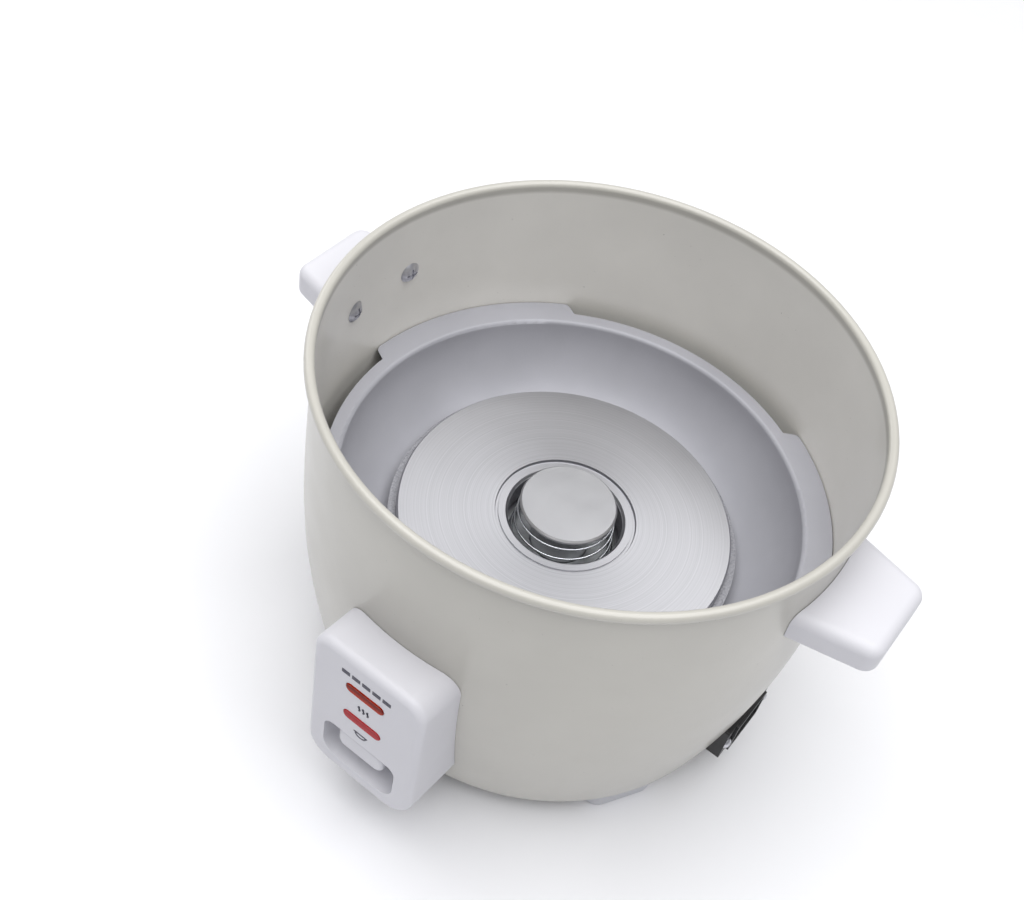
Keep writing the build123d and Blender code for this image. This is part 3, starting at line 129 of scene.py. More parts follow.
class Graph:
    """One material's node tree, with a short call for each kind of node that the finishes use."""

    def __init__(self, name: str) -> None:
        """Start a material with only its shader and output.

        Args:
            name: the material's name.
        """
        self.material = bpy.data.materials.new(name)
        self.material.use_nodes = True
        self.tree = self.material.node_tree
        self.shader = self.tree.nodes["Principled BSDF"]
        self.place = self.add("ShaderNodeTexCoord").outputs["Object"]

    def add(self, kind: str) -> bpy.types.Node:
        """Add a node of a kind and return it."""
        return self.tree.nodes.new(kind)

    def link(self, source: Socket, target: Socket) -> None:
        """Join two sockets."""
        self.tree.links.new(source, target)

    def fixed(self, **values: float | tuple) -> None:
        """Set constants on the shader's own sockets.

        Args:
            **values: socket names with underscores for spaces, and their values.
        """
        for name, value in values.items():
            self.shader.inputs[name.replace("_", " ")].default_value = value

    def math(self, kind: str, first: Socket | float, second: Socket | float = 0.0,
             third: Socket | float = 0.0) -> Socket:
        """Add a Math node.

        Args:
            kind: the operation's name.
            first: the first input, a socket or a number.
            second: the second input.
            third: the third input, where the operation has one.

        Returns:
            The result's socket.
        """
        node = self.add("ShaderNodeMath")
        node.operation = kind
        for target, value in zip(node.inputs, (first, second, third)):
            if isinstance(value, Socket):
                self.link(value, target)
            else:
                target.default_value = value
        return node.outputs[0]

    def axes(self) -> tuple[Socket, Socket, Socket]:
        """Return the place's X, Y and Z as separate sockets."""
        node = self.add("ShaderNodeSeparateXYZ")
        self.link(self.place, node.inputs[0])
        return tuple(node.outputs)

    def radius(self) -> Socket:
        """Return the distance from the cooker's upright axis."""
        x, y, _ = self.axes()
        squares = self.math("ADD", self.math("MULTIPLY", x, x), self.math("MULTIPLY", y, y))
        return self.math("SQRT", squares)

    def inward(self) -> Socket:
        """Return 1 where the surface faces the cooker's axis, and 0 where it faces out."""
        x, y, _ = self.axes()
        facing = self.add("ShaderNodeSeparateXYZ")
        self.link(self.place.node.outputs["Normal"], facing.inputs[0])
        along = self.math("ADD", self.math("MULTIPLY", x, facing.outputs[0]),
                          self.math("MULTIPLY", y, facing.outputs[1]))
        return self.span(self.math("DIVIDE", along, self.radius()), 0.3, -0.5)

    def noise(self, scale: float, detail: float = 2.0, along: Socket | None = None) -> Socket:
        """Add a noise texture.

        Args:
            scale: features per metre.
            detail: how many finer layers it has.
            along: a single value to vary along, instead of the place in space.

        Returns:
            The noise, from 0 to 1.
        """
        node = self.add("ShaderNodeTexNoise")
        node.inputs["Scale"].default_value = scale
        node.inputs["Detail"].default_value = detail
        if along is None:
            self.link(self.place, node.inputs["Vector"])
        else:
            node.noise_dimensions = "1D"
            self.link(along, node.inputs["W"])
        return node.outputs["Fac"]

    def cells(self, scale: float) -> Socket:
        """Return a random grey for each cell of a Voronoi pattern.

        Args:
            scale: cells per metre.

        Returns:
            A value from 0 to 1, the same all over a cell.
        """
        node = self.add("ShaderNodeTexVoronoi")
        node.inputs["Scale"].default_value = scale
        self.link(self.place, node.inputs["Vector"])
        split = self.add("ShaderNodeSeparateColor")
        self.link(node.outputs["Color"], split.inputs[0])
        return split.outputs[0]

    def span(self, value: Socket, low: float, high: float, to_low: float = 0.0,
             to_high: float = 1.0) -> Socket:
        """Map a value from one range onto another, held at the ends.

        Args:
            value: the socket to map.
            low: the value that gives to_low.
            high: the value that gives to_high.
            to_low: the result at low.
            to_high: the result at high.

        Returns:
            The mapped socket.
        """
        node = self.add("ShaderNodeMapRange")
        self.link(value, node.inputs["Value"])
        for name, number in zip(("From Min", "From Max", "To Min", "To Max"), (low, high, to_low, to_high)):
            node.inputs[name].default_value = number
        return node.outputs[0]

    def ramp(self, value: Socket, *stops: tuple[float, Colour]) -> Socket:
        """Turn a value into a colour.

        Args:
            value: from 0 to 1.
            *stops: places along the ramp and their display colours.

        Returns:
            The colour's socket.
        """
        node = self.add("ShaderNodeValToRGB")
        elements = node.color_ramp.elements
        while len(elements) < len(stops):
            elements.new(0.5)
        for element, (place, colour) in zip(elements, stops):
            element.position = place
            element.color = linear(colour)
        self.link(value, node.inputs[0])
        return node.outputs[0]

    def mix(self, share: Socket, first: Socket, second: Socket) -> Socket:
        """Mix two colours.

        Args:
            share: how much of the second shows.
            first: the colour at 0.
            second: the colour at 1.

        Returns:
            The mixed colour's socket.
        """
        node = self.add("ShaderNodeMix")
        node.data_type = "RGBA"
        self.link(share, node.inputs["Factor"])
        self.link(first, node.inputs[6])
        self.link(second, node.inputs[7])
        return node.outputs[2]

    def bump(self, height: Socket, depth: float, below: Socket | None = None) -> Socket:
        """Add a bump layer.

        Args:
            height: the pattern, from 0 to 1.
            depth: the pattern's full height in metres.
            below: a bump that this one lies on.

        Returns:
            The normal's socket.
        """
        node = self.add("ShaderNodeBump")
        node.inputs["Distance"].default_value = depth
        self.link(height, node.inputs["Height"])
        if below is not None:
            self.link(below, node.inputs["Normal"])
        return node.outputs[0]

    def dress(self, colour: Socket, roughness: Socket, normal: Socket | None = None) -> None:
        """Join the finished patterns to the shader.

        Args:
            colour: the base colour.
            roughness: the roughness.
            normal: the bumped normal.
        """
        self.link(colour, self.shader.inputs["Base Color"])
        self.link(roughness, self.shader.inputs["Roughness"])
        if normal is not None:
            self.link(normal, self.shader.inputs["Normal"])


# -------------------------------------------------------------------------------- finishes
@dataclass(frozen=True)
class Finish:
    """A surface whose colour, gloss and grain wander a little from place to place."""

    name: str
    colour: Colour
    metal: float = 0.0
    roughness: float = 0.4
    gloss_spread: float = 0.05
    gloss_scale: float = 60.0
    tone_spread: float = 0.03
    tone_scale: float = 25.0
    grain_scale: float = 1400.0
    grain_depth: float = 0.02 * MM
    coat: float = 0.0
    coat_roughness: float = 0.12
    sheen: float = 0.5

    def material(self) -> bpy.types.Material:
        """Build the finish as a material."""
        graph = Graph(self.name)
        graph.fixed(Metallic=self.metal, Coat_Weight=self.coat, Coat_Roughness=self.coat_roughness,
                    Specular_IOR_Level=self.sheen)
        self.paint(graph)
        return graph.material

    def tone(self, graph: Graph, colour: Colour | None = None) -> Socket:
        """Return a colour that wanders a little, the finish's own unless another is given.

        Args:
            graph: the material's node tree.
            colour: a colour to use instead of the finish's own.

        Returns:
            The colour's socket.
        """
        middle_tone = colour or self.colour
        drift = graph.noise(self.tone_scale, 3.0)
        return graph.ramp(drift, (DRIFT_LOW, shade(middle_tone, 1 - self.tone_spread)),
                          (DRIFT_HIGH, shade(middle_tone, 1 + self.tone_spread)))

    def gloss(self, graph: Graph) -> Socket:
        """Return the finish's wandering roughness."""
        drift = graph.noise(self.gloss_scale, 4.0)
        return graph.span(drift, DRIFT_LOW, DRIFT_HIGH, self.roughness - self.gloss_spread,
                          self.roughness + self.gloss_spread)

    def grain(self, graph: Graph) -> Socket:
        """Return the finish's fine bump."""
        return graph.bump(graph.noise(self.grain_scale, 2.0), self.grain_depth)

    def paint(self, graph: Graph) -> None:
        """Put the finish's patterns on the shader."""
        graph.dress(self.tone(graph), self.gloss(graph), self.grain(graph))


@dataclass(frozen=True)
class Enamel(Finish):
    """Sprayed enamel on sheet steel, with painted light that makes the well's walls paler below the curl:
    orange peel under a clear gloss, and a few specks.
    """

    # painted light: the paler colour of inward-facing enamel below the curl, standing in for light in the well
    painted_well_light_colour: Colour = (0.90, 0.89, 0.865)
    curl_from: float = 1.0
    speck_colour: Colour = (0.52, 0.51, 0.49)
    speck_scale: float = 960.0
    speck_from: float = 0.80
    speck_full: float = 0.84
    curl_blend: float = 2.0 * MM
    peel_scale: float = 260.0
    peel_depth: float = 0.035 * MM

    def paint(self, graph: Graph) -> None:
        """Put colour, the painted well light, specks, orange peel and gloss on the shader."""
        specks = graph.span(graph.noise(self.speck_scale, 1.0), self.speck_from, self.speck_full)
        dust = graph.ramp(specks, (0.0, self.speck_colour), (1.0, self.speck_colour))
        peel = graph.bump(graph.noise(self.peel_scale, 2.0), self.peel_depth, self.grain(graph))
        # painted light: inward-facing enamel below the curl takes the paler colour, mixed into the enamel
        # colour below
        well_light_tone = self.tone(graph, self.painted_well_light_colour)
        below_curl = graph.span(graph.axes()[2], self.curl_from, self.curl_from - self.curl_blend)
        coat = graph.mix(graph.math("MULTIPLY", graph.inward(), below_curl), self.tone(graph), well_light_tone)
        graph.dress(graph.mix(specks, coat, dust), self.gloss(graph), peel)


@dataclass(frozen=True)
class TurnedMetal(Finish):
    """Metal faced on a lathe: uneven rings about the cooker's axis on top, cast skin lower down."""

    ring_scale: float = 1500.0
    wide_ring_scale: float = 260.0
    ring_depth: float = 0.008 * MM
    ring_contrast: float = 0.03
    wide_share: float = 0.12
    faced_from: float = 0.0
    cast_colour: Colour = (0.62, 0.62, 0.64)
    cast_roughness: float = 0.6
    cast_scale: float = 900.0
    cast_depth: float = 0.25 * MM
    anisotropy: float = 0.4

    def paint(self, graph: Graph) -> None:
        """Put rings on the faced top and a sandy skin on the rest."""
        graph.fixed(Anisotropic=self.anisotropy)
        direction = graph.add("ShaderNodeTangent")
        direction.direction_type = "RADIAL"
        direction.axis = "Z"
        graph.link(direction.outputs[0], graph.shader.inputs["Tangent"])
        out = graph.radius()
        fine = graph.noise(self.ring_scale, 3.0, out)
        wide = graph.noise(self.wide_ring_scale, 2.0, out)
        fine_part = graph.math("MULTIPLY", fine, 1 - self.wide_share)
        rings = graph.math("MULTIPLY_ADD", wide, self.wide_share, fine_part)
        faced = graph.span(graph.axes()[2], self.faced_from - 0.3 * MM, self.faced_from)
        bright = graph.ramp(rings, (0.35, shade(self.colour, 1 - self.ring_contrast)),
                            (0.65, shade(self.colour, 1 + self.ring_contrast)))
        skin = graph.noise(self.cast_scale, 4.0)
        sand = graph.ramp(skin, (0.3, shade(self.cast_colour, 0.88)), (0.7, shade(self.cast_colour, 1.08)))
        rough = graph.math("MULTIPLY_ADD", faced, self.roughness - self.cast_roughness, self.cast_roughness)
        wander = graph.math("MULTIPLY_ADD", graph.noise(self.gloss_scale, 4.0), 2 * self.gloss_spread, rough)
        unfaced = graph.math("SUBTRACT", 1.0, faced)
        relief = graph.bump(graph.math("MULTIPLY", skin, unfaced), self.cast_depth)
        lines = graph.bump(graph.math("MULTIPLY", rings, faced), self.ring_depth, relief)
        graph.dress(graph.mix(faced, sand, bright), graph.math("SUBTRACT", wander, self.gloss_spread), lines)


@dataclass(frozen=True)
class ZincSheet(Finish):
    """Galvanised sheet with its large pale crystals."""

    crystal_scale: float = 120.0
    crystal_spread: float = 0.09

    def paint(self, graph: Graph) -> None:
        """Put crystals in the colour and in the gloss."""
        crystal = graph.cells(self.crystal_scale)
        colour = graph.ramp(crystal, (0.0, shade(self.colour, 1 - self.crystal_spread)),
                            (1.0, shade(self.colour, 1 + self.crystal_spread)))
        gloss = graph.span(crystal, 0.0, 1.0, self.roughness - self.gloss_spread,
                           self.roughness + self.gloss_spread)
        graph.dress(colour, gloss, self.grain(graph))


@dataclass(frozen=True)
class TintedLens(Finish):
    """Coloured clear moulding over a dark lamp chamber, with painted shade from the chamber in its middle and a
    painted highlight along its lower edge.
    """

    low: float = 0.0
    high: float = 1.0
    # painted shade of the dark lamp chamber seen through the lens
    chamber_shade_colour: Colour = (0.40, 0.04, 0.0)
    # painted highlight along the lens's lower edge
    edge: Colour = (0.90, 0.42, 0.12)
    sheen: float = 0.06

    def paint(self, graph: Graph) -> None:
        """Put bands of colour up the lens, with the painted shade and the painted highlight, a little broken by
        noise.
        """
        height = graph.span(graph.axes()[2], self.low, self.high)
        broken = graph.math("MULTIPLY_ADD", graph.noise(260.0, 2.0), 0.16, height)
        # painted highlight at the bottom, the lens's own colour, painted shade higher up, then its own colour
        # at the top
        lens_colour_and_painted_light = graph.ramp(graph.math("SUBTRACT", broken, 0.08), (0.04, self.edge), (0.22, self.colour),
                          (0.62, self.chamber_shade_colour), (0.95, self.colour))
        graph.dress(lens_colour_and_painted_light, self.gloss(graph), self.grain(graph))


@dataclass(frozen=True)
class Glass(Finish):
    """Clear glass of a small lamp, with the faintest tint."""

    clearness: float = 0.92

    def paint(self, graph: Graph) -> None:
        """Let light through and keep the surface nearly smooth."""
        graph.fixed(Transmission_Weight=self.clearness, IOR=1.5)
        graph.dress(self.tone(graph), self.gloss(graph))


# -------------------------------------------------------------------------------- mesh making
def new_piece(name: str, mesh: bmesh.types.BMesh, material: bpy.types.Material, body: Body) -> bpy.types.Object:
    """Turn a bmesh into a smooth-shaded piece that rides on a body.

    Args:
        name: the piece's name.
        mesh: its faces, in metres in the row frame.  It is freed here.
        material: its finish.
        body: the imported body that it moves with.

    Returns:
        The new piece.
    """
    bmesh.ops.recalc_face_normals(mesh, faces=mesh.faces)
    data = bpy.data.meshes.new(name)
    mesh.to_mesh(data)
    mesh.free()
    data.shade_smooth()
    data.materials.append(material)
    piece = bpy.data.objects.new(name, data)
    bpy.context.scene.collection.objects.link(piece)
    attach(piece, body.value)
    return piece


def sweep_round(mesh: bmesh.types.BMesh, path: list[Vector], radius: float, sides: int = 12) -> None:
    """Sweep a round wire along a path and cap both its ends.

    Args:
        mesh: the bmesh that receives the wire.
        path: the wire's middle line.
        radius: the wire's radius.
        sides: how many faces go round the wire.
    """
    rings = []
    last = len(path) - 1
    for i, point in enumerate(path):
        ahead = (path[min(i + 1, last)] - path[max(i - 1, 0)]).normalized()
        across = ahead.cross(Vector((0, 0, 1))).normalized()
        upright = across.cross(ahead)
        turns = [math.tau * k / sides for k in range(sides)]
        outward = [across * math.cos(t) + upright * math.sin(t) for t in turns]
        rings.append([mesh.verts.new(point + radius * spoke) for spoke in outward])
    for near, far in zip(rings, rings[1:]):
        for k in range(sides):
            mesh.faces.new((near[k], near[(k + 1) % sides], far[(k + 1) % sides], far[k]))
    mesh.faces.new(rings[0])
    mesh.faces.new(list(reversed(rings[-1])))


@dataclass
class Coil:
    """A compression spring wound from round wire, with its end turns lying flat."""

    low: float
    high: float
    low_radius: float
    high_radius: float
    turns: float
    wire: float
    flat_turns: float = 0.8
    easing: float = 0.35
    points_per_turn: int = 48

    def path(self, centre: Vector) -> list[Vector]:
        """Work out the wire's middle line.

        Args:
            centre: a point on the spring's axis; its height isn't used.

        Returns:
            Points from the lower end to the upper one.
        """
        count = round(self.turns * self.points_per_turn)
        bottom = self.low + self.wire
        rise = self.high - self.low - 2 * self.wire
        edge = self.flat_turns / self.turns
        points = []
        for i in range(count + 1):
            share = i / count
            climb = min(1.0, max(0.0, (share - edge / 2) / (1 - edge)))
            eased = climb * climb * (3 - 2 * climb) * self.easing + climb * (1 - self.easing)
            out = self.low_radius + (self.high_radius - self.low_radius) * share
            turn = math.tau * self.turns * share
            points.append(Vector((centre.x + out * math.cos(turn), centre.y + out * math.sin(turn),
                                  bottom + rise * eased)))
        return points

    def wind(self, name: str, centre: Vector, material: bpy.types.Material, body: Body,
             between: tuple[float, float] | None = None) -> bpy.types.Object:
        """Make the spring, or the stretch of it between two heights.

        Args:
            name: the piece's name.
            centre: a point on its axis.
            material: the wire's finish.
            body: the body that it rides on.
            between: the stretch's lower and upper height, or None for all of it.

        Returns:
            The spring.
        """
        bottom, top = between or (self.low, self.high)
        mesh = bmesh.new()
        sweep_round(mesh, [point for point in self.path(centre) if bottom <= point.z <= top], self.wire)
        return new_piece(name, mesh, material, body)


def squeeze(piece: bpy.types.Object) -> None:
    """Give a spring its own copy of its mesh.

    Args:
        piece: the spring.
    """
    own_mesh(piece)


def middle(node: str) -> Vector:
    """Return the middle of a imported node's box."""
    low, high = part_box(node)
    return (low + high) / 2


# -------------------------------------------------------------------------------- wardrobe
class Wardrobe:
    """Holds each finish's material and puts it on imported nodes."""

    def __init__(self) -> None:
        """Build every slot's material from its finish."""
        plate_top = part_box("heating_plate")[1].z
        rim_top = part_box("outer_body")[1].z
        warm_low, warm_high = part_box("warm_lens")
        cook_low, cook_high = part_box("cook_lens")
        finishes = {
            Slot.BODY_ENAMEL: Enamel("body_enamel", (0.737, 0.727, 0.697), roughness=0.34, coat=0.3,
                                     tone_spread=0.012, gloss_spread=0.03, curl_from=rim_top - 4 * MM),
            Slot.PAN_GREY: Finish("pan_grey", (0.675, 0.675, 0.70), metal=0.1, roughness=0.46, sheen=0.3,
                                  grain_scale=900.0, gloss_spread=0.03, tone_spread=0.02),
            Slot.CAST_ALUMINIUM: TurnedMetal("cast_aluminium", (0.70, 0.70, 0.715), metal=1.0, roughness=0.44,
                                             faced_from=plate_top - 1.5 * MM),
            Slot.CAP_ALUMINIUM: Finish("cap_aluminium", (0.71, 0.71, 0.72), metal=1.0, roughness=0.40,
                                       grain_scale=4200.0, grain_depth=0.03 * MM, tone_spread=0.015),
            Slot.SPRING_STEEL: Finish("spring_steel", (0.78, 0.79, 0.81), metal=1.0, roughness=0.24,
                                      grain_scale=3000.0, grain_depth=0.004 * MM),
            Slot.WHITE_PLASTIC: Finish("white_plastic", (0.825, 0.822, 0.842), roughness=0.38, sheen=0.25,
                                       gloss_spread=0.03, tone_spread=0.008, grain_scale=1100.0,
                                       grain_depth=0.012 * MM),
            Slot.FOOT_PLASTIC: Finish("foot_plastic", (0.80, 0.80, 0.82), roughness=0.48, tone_spread=0.012),
            Slot.HOLDER_PLASTIC: Finish("holder_plastic", (0.72, 0.71, 0.68), roughness=0.5),
            Slot.BLACK_PLASTIC: Finish("black_plastic", (0.105, 0.105, 0.11), roughness=0.42,
                                       tone_spread=0.12, grain_scale=1600.0, grain_depth=0.03 * MM),
            Slot.RED_PLASTIC: Finish("red_plastic", (0.62, 0.11, 0.08), roughness=0.4),
            # both lenses carry painted shade of the chamber in their middle and a painted highlight along their
            # lower edge
            Slot.AMBER_LENS: TintedLens("amber_lens", (0.72, 0.19, 0.02), roughness=0.22,
                                        grain_depth=0.006 * MM, low=warm_low.z, high=warm_high.z),
            Slot.RED_LENS: TintedLens("red_lens", (0.72, 0.24, 0.25), roughness=0.25,
                                      grain_depth=0.006 * MM, low=cook_low.z, high=cook_high.z,
                                      chamber_shade_colour=(0.62, 0.15, 0.17), edge=(0.80, 0.38, 0.38)),
            Slot.NICKEL_BRASS: Finish("nickel_brass", (0.80, 0.76, 0.66), metal=1.0, roughness=0.28),
            Slot.CERAMIC_WHITE: Finish("ceramic_white", (0.92, 0.91, 0.88), roughness=0.55,
                                       grain_depth=0.03 * MM),
            Slot.FERRITE_BLACK: Finish("ferrite_black", (0.17, 0.17, 0.18), roughness=0.55, tone_spread=0.15,
                                       grain_scale=2500.0, grain_depth=0.04 * MM),
            Slot.LAMP_GLASS: Glass("lamp_glass", (0.98, 0.93, 0.88), roughness=0.06, gloss_spread=0.02),
            Slot.FUSE_METAL: Finish("fuse_metal", (0.74, 0.72, 0.68), metal=1.0, roughness=0.32),
            Slot.GALVANISED_STEEL: ZincSheet("galvanised_steel", (0.72, 0.73, 0.74), metal=1.0,
                                             roughness=0.38),
            Slot.ELEMENT_STEEL: Finish("element_steel", (0.52, 0.50, 0.47), metal=1.0, roughness=0.45,
                                       tone_spread=0.10),
            Slot.SCREW_STEEL: Finish("screw_steel", (0.80, 0.80, 0.82), metal=1.0, roughness=0.34,
                                     grain_scale=2600.0, grain_depth=0.02 * MM),
        }
        self.materials = {slot: finish.material() for slot, finish in finishes.items()}

    def dress(self, slot: Slot, *names: str) -> None:
        """Put a slot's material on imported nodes.

        Args:
            slot: which material.
            *names: the nodes that wear it.
        """
        for name in names:
            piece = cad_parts[name]
            piece.data.materials.clear()
            piece.data.materials.append(self.materials[slot])
            log.info("%s wears %s", name, slot.value)


# -------------------------------------------------------------------------------- sub-assemblies
@dataclass
class Casing:
    """The outer body, its bottom plate, feet, handles and their fasteners."""

    wardrobe: Wardrobe

    def build(self) -> None:
        """Dress the casing."""
        self.wardrobe.dress(Slot.BODY_ENAMEL, "outer_body")
        self.wardrobe.dress(Slot.GALVANISED_STEEL, "bottom_plate", "earth_tag")
        self.wardrobe.dress(Slot.WHITE_PLASTIC, "right_handle", "left_handle")
        self.wardrobe.dress(Slot.FOOT_PLASTIC, "front_left_foot", "front_right_foot", "rear_foot")
        self.wardrobe.dress(Slot.SCREW_STEEL, "handle_screws", "foot_screws", "foot_nuts", "floor_screws")


@dataclass
class Hearth:
    """The pan that catches spills, and the cast heating plate with its element and fixings."""

    wardrobe: Wardrobe

    def build(self) -> None:
        """Dress the hearth."""
        self.wardrobe.dress(Slot.PAN_GREY, "inner_pan")
        self.wardrobe.dress(Slot.CAST_ALUMINIUM, "heating_plate")
        self.wardrobe.dress(Slot.ELEMENT_STEEL, "heating_element")
        self.wardrobe.dress(Slot.NICKEL_BRASS, "element_terminals")
        self.wardrobe.dress(Slot.CERAMIC_WHITE, "element_bushes")
        self.wardrobe.dress(Slot.GALVANISED_STEEL, "plate_posts")
        self.wardrobe.dress(Slot.SCREW_STEEL, "plate_screws")


@dataclass
class ThermostatHead:
    """The sprung cap that the pot presses down, and the magnet under it."""

    wardrobe: Wardrobe
    wire: float = 0.55 * MM
    turns: float = 5.0
    magnet_wire: float = 0.45 * MM
    magnet_turns: float = 6.0
    magnet_share: float = 0.4

    def build(self) -> None:
        """Dress the head and wind its springs."""
        self.wardrobe.dress(Slot.CAP_ALUMINIUM, "thermostat_cap", "thermostat_sleeve")
        self.wardrobe.dress(Slot.FERRITE_BLACK, "thermostat_ferrite", "permanent_magnet")
        self.wardrobe.dress(Slot.GALVANISED_STEEL, "thermostat_guide", "magnet_carrier")
        self.wind_head_spring()
        self.wind_magnet_spring()

    def wind_head_spring(self) -> bpy.types.Object:
        """Wind the tapered spring under the cap.

        Returns:
            The spring.
        """
        low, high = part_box("thermostat_spring")
        wide = (high.x - low.x) / 2 - self.wire
        narrow = (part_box("thermostat_cap")[1].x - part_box("thermostat_cap")[0].x) / 2 - 2 * self.wire
        coil = Coil(low.z, high.z, wide, narrow, self.turns, self.wire)
        centre = middle("thermostat_guide")
        spring = coil.wind("cap_spring_coil", centre, self.wardrobe.materials[Slot.SPRING_STEEL], Body.BASE)
        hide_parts("thermostat_spring")
        squeeze(spring)
        return spring

    def wind_magnet_spring(self) -> list[bpy.types.Object]:
        """Wind the spring between the cap and the magnet, in two stretches.

        Returns:
            The upper stretch and the lower one.
        """
        low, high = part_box("magnet_spring")
        out = (high.x - low.x) / 2 - self.magnet_wire
        coil = Coil(low.z, high.z, out, out, self.magnet_turns, self.magnet_wire)
        centre = middle("permanent_magnet")
        steel = self.wardrobe.materials[Slot.SPRING_STEEL]
        split = low.z + (high.z - low.z) * self.magnet_share
        stretches = []
        for name, joint, bottom, top in (("magnet_spring_upper", "cap_slide", split, high.z),
                                         ("magnet_spring_lower", "magnet_slide", low.z, split)):
            piece = coil.wind(name, centre, steel, Body.BASE, (bottom, top))
            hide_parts("magnet_spring")
            squeeze(piece)
            stretches.append(piece)
        return stretches


@dataclass
class PlainMark:
    """A plain symbol on the control box's face: strokes of one width with round ends, a little raised."""

    name: str
    x: float
    z: float
    strokes: list[list[tuple[float, float]]]
    width: float = 0.75 * MM
    rise: float = 0.12 * MM
    sides: int = 8

    def build(self, face_y: float, material: bpy.types.Material) -> bpy.types.Object:
        """Make the mark.

        Args:
            face_y: the face's Y.
            material: the ink.

        Returns:
            The mark, which rides on the base.
        """
        mesh = bmesh.new()
        for stroke in self.strokes:
            points = [Vector((self.x + x, face_y, self.z + z)) for x, z in stroke]
            self.lay(mesh, points)
        return new_piece(self.name, mesh, material, Body.BASE)

    def lay(self, mesh: bmesh.types.BMesh, points: list[Vector]) -> None:
        """Lay one stroke as a closed low ribbon with round ends.

        Args:
            mesh: the bmesh that receives it.
            points: the stroke's middle line on the face.
        """
        outline = []
        last = len(points) - 1
        half = self.width / 2
        sideways = []
        for i in range(last + 1):
            ahead = (points[min(i + 1, last)] - points[max(i - 1, 0)]).normalized()
            sideways.append(Vector((-ahead.z, 0, ahead.x)))
        outline += [p + s * half for p, s in zip(points, sideways)]
        outline += self.round_end(points[-1], -sideways[-1], half)
        outline += [p - s * half for p, s in reversed(list(zip(points, sideways)))]
        outline += self.round_end(points[0], sideways[0], half)
        back = [mesh.verts.new(p + Vector((0, self.rise, 0))) for p in outline]
        front = [mesh.verts.new(p - Vector((0, self.rise, 0))) for p in outline]
        count = len(outline)
        for k in range(count):
            mesh.faces.new((back[k], back[(k + 1) % count], front[(k + 1) % count], front[k]))
        self.cap(mesh, front)
        self.cap(mesh, list(reversed(back)))

    def round_end(self, centre: Vector, towards: Vector, half: float) -> list[Vector]:
        """Return points round a stroke's end, without the two that the sides already have.

        Args:
            centre: the stroke's last point.
            towards: from the centre to the side that the end turns towards.
            half: half the stroke's width.

        Returns:
            The points in order.
        """
        start = -towards
        quarter = Matrix.Rotation(math.pi / self.sides, 3, "Y")
        found = []
        for _ in range(self.sides - 1):
            start = quarter @ start
            found.append(centre + start * half)
        return found

    @staticmethod
    def cap(mesh: bmesh.types.BMesh, rim: list[bmesh.types.BMVert]) -> None:
        """Close an outline with one flat face, cut into triangles.

        Args:
            mesh: the bmesh that holds it.
            rim: its corners in order.
        """
        face = mesh.faces.new(rim)
        bmesh.ops.triangulate(mesh, faces=[face])


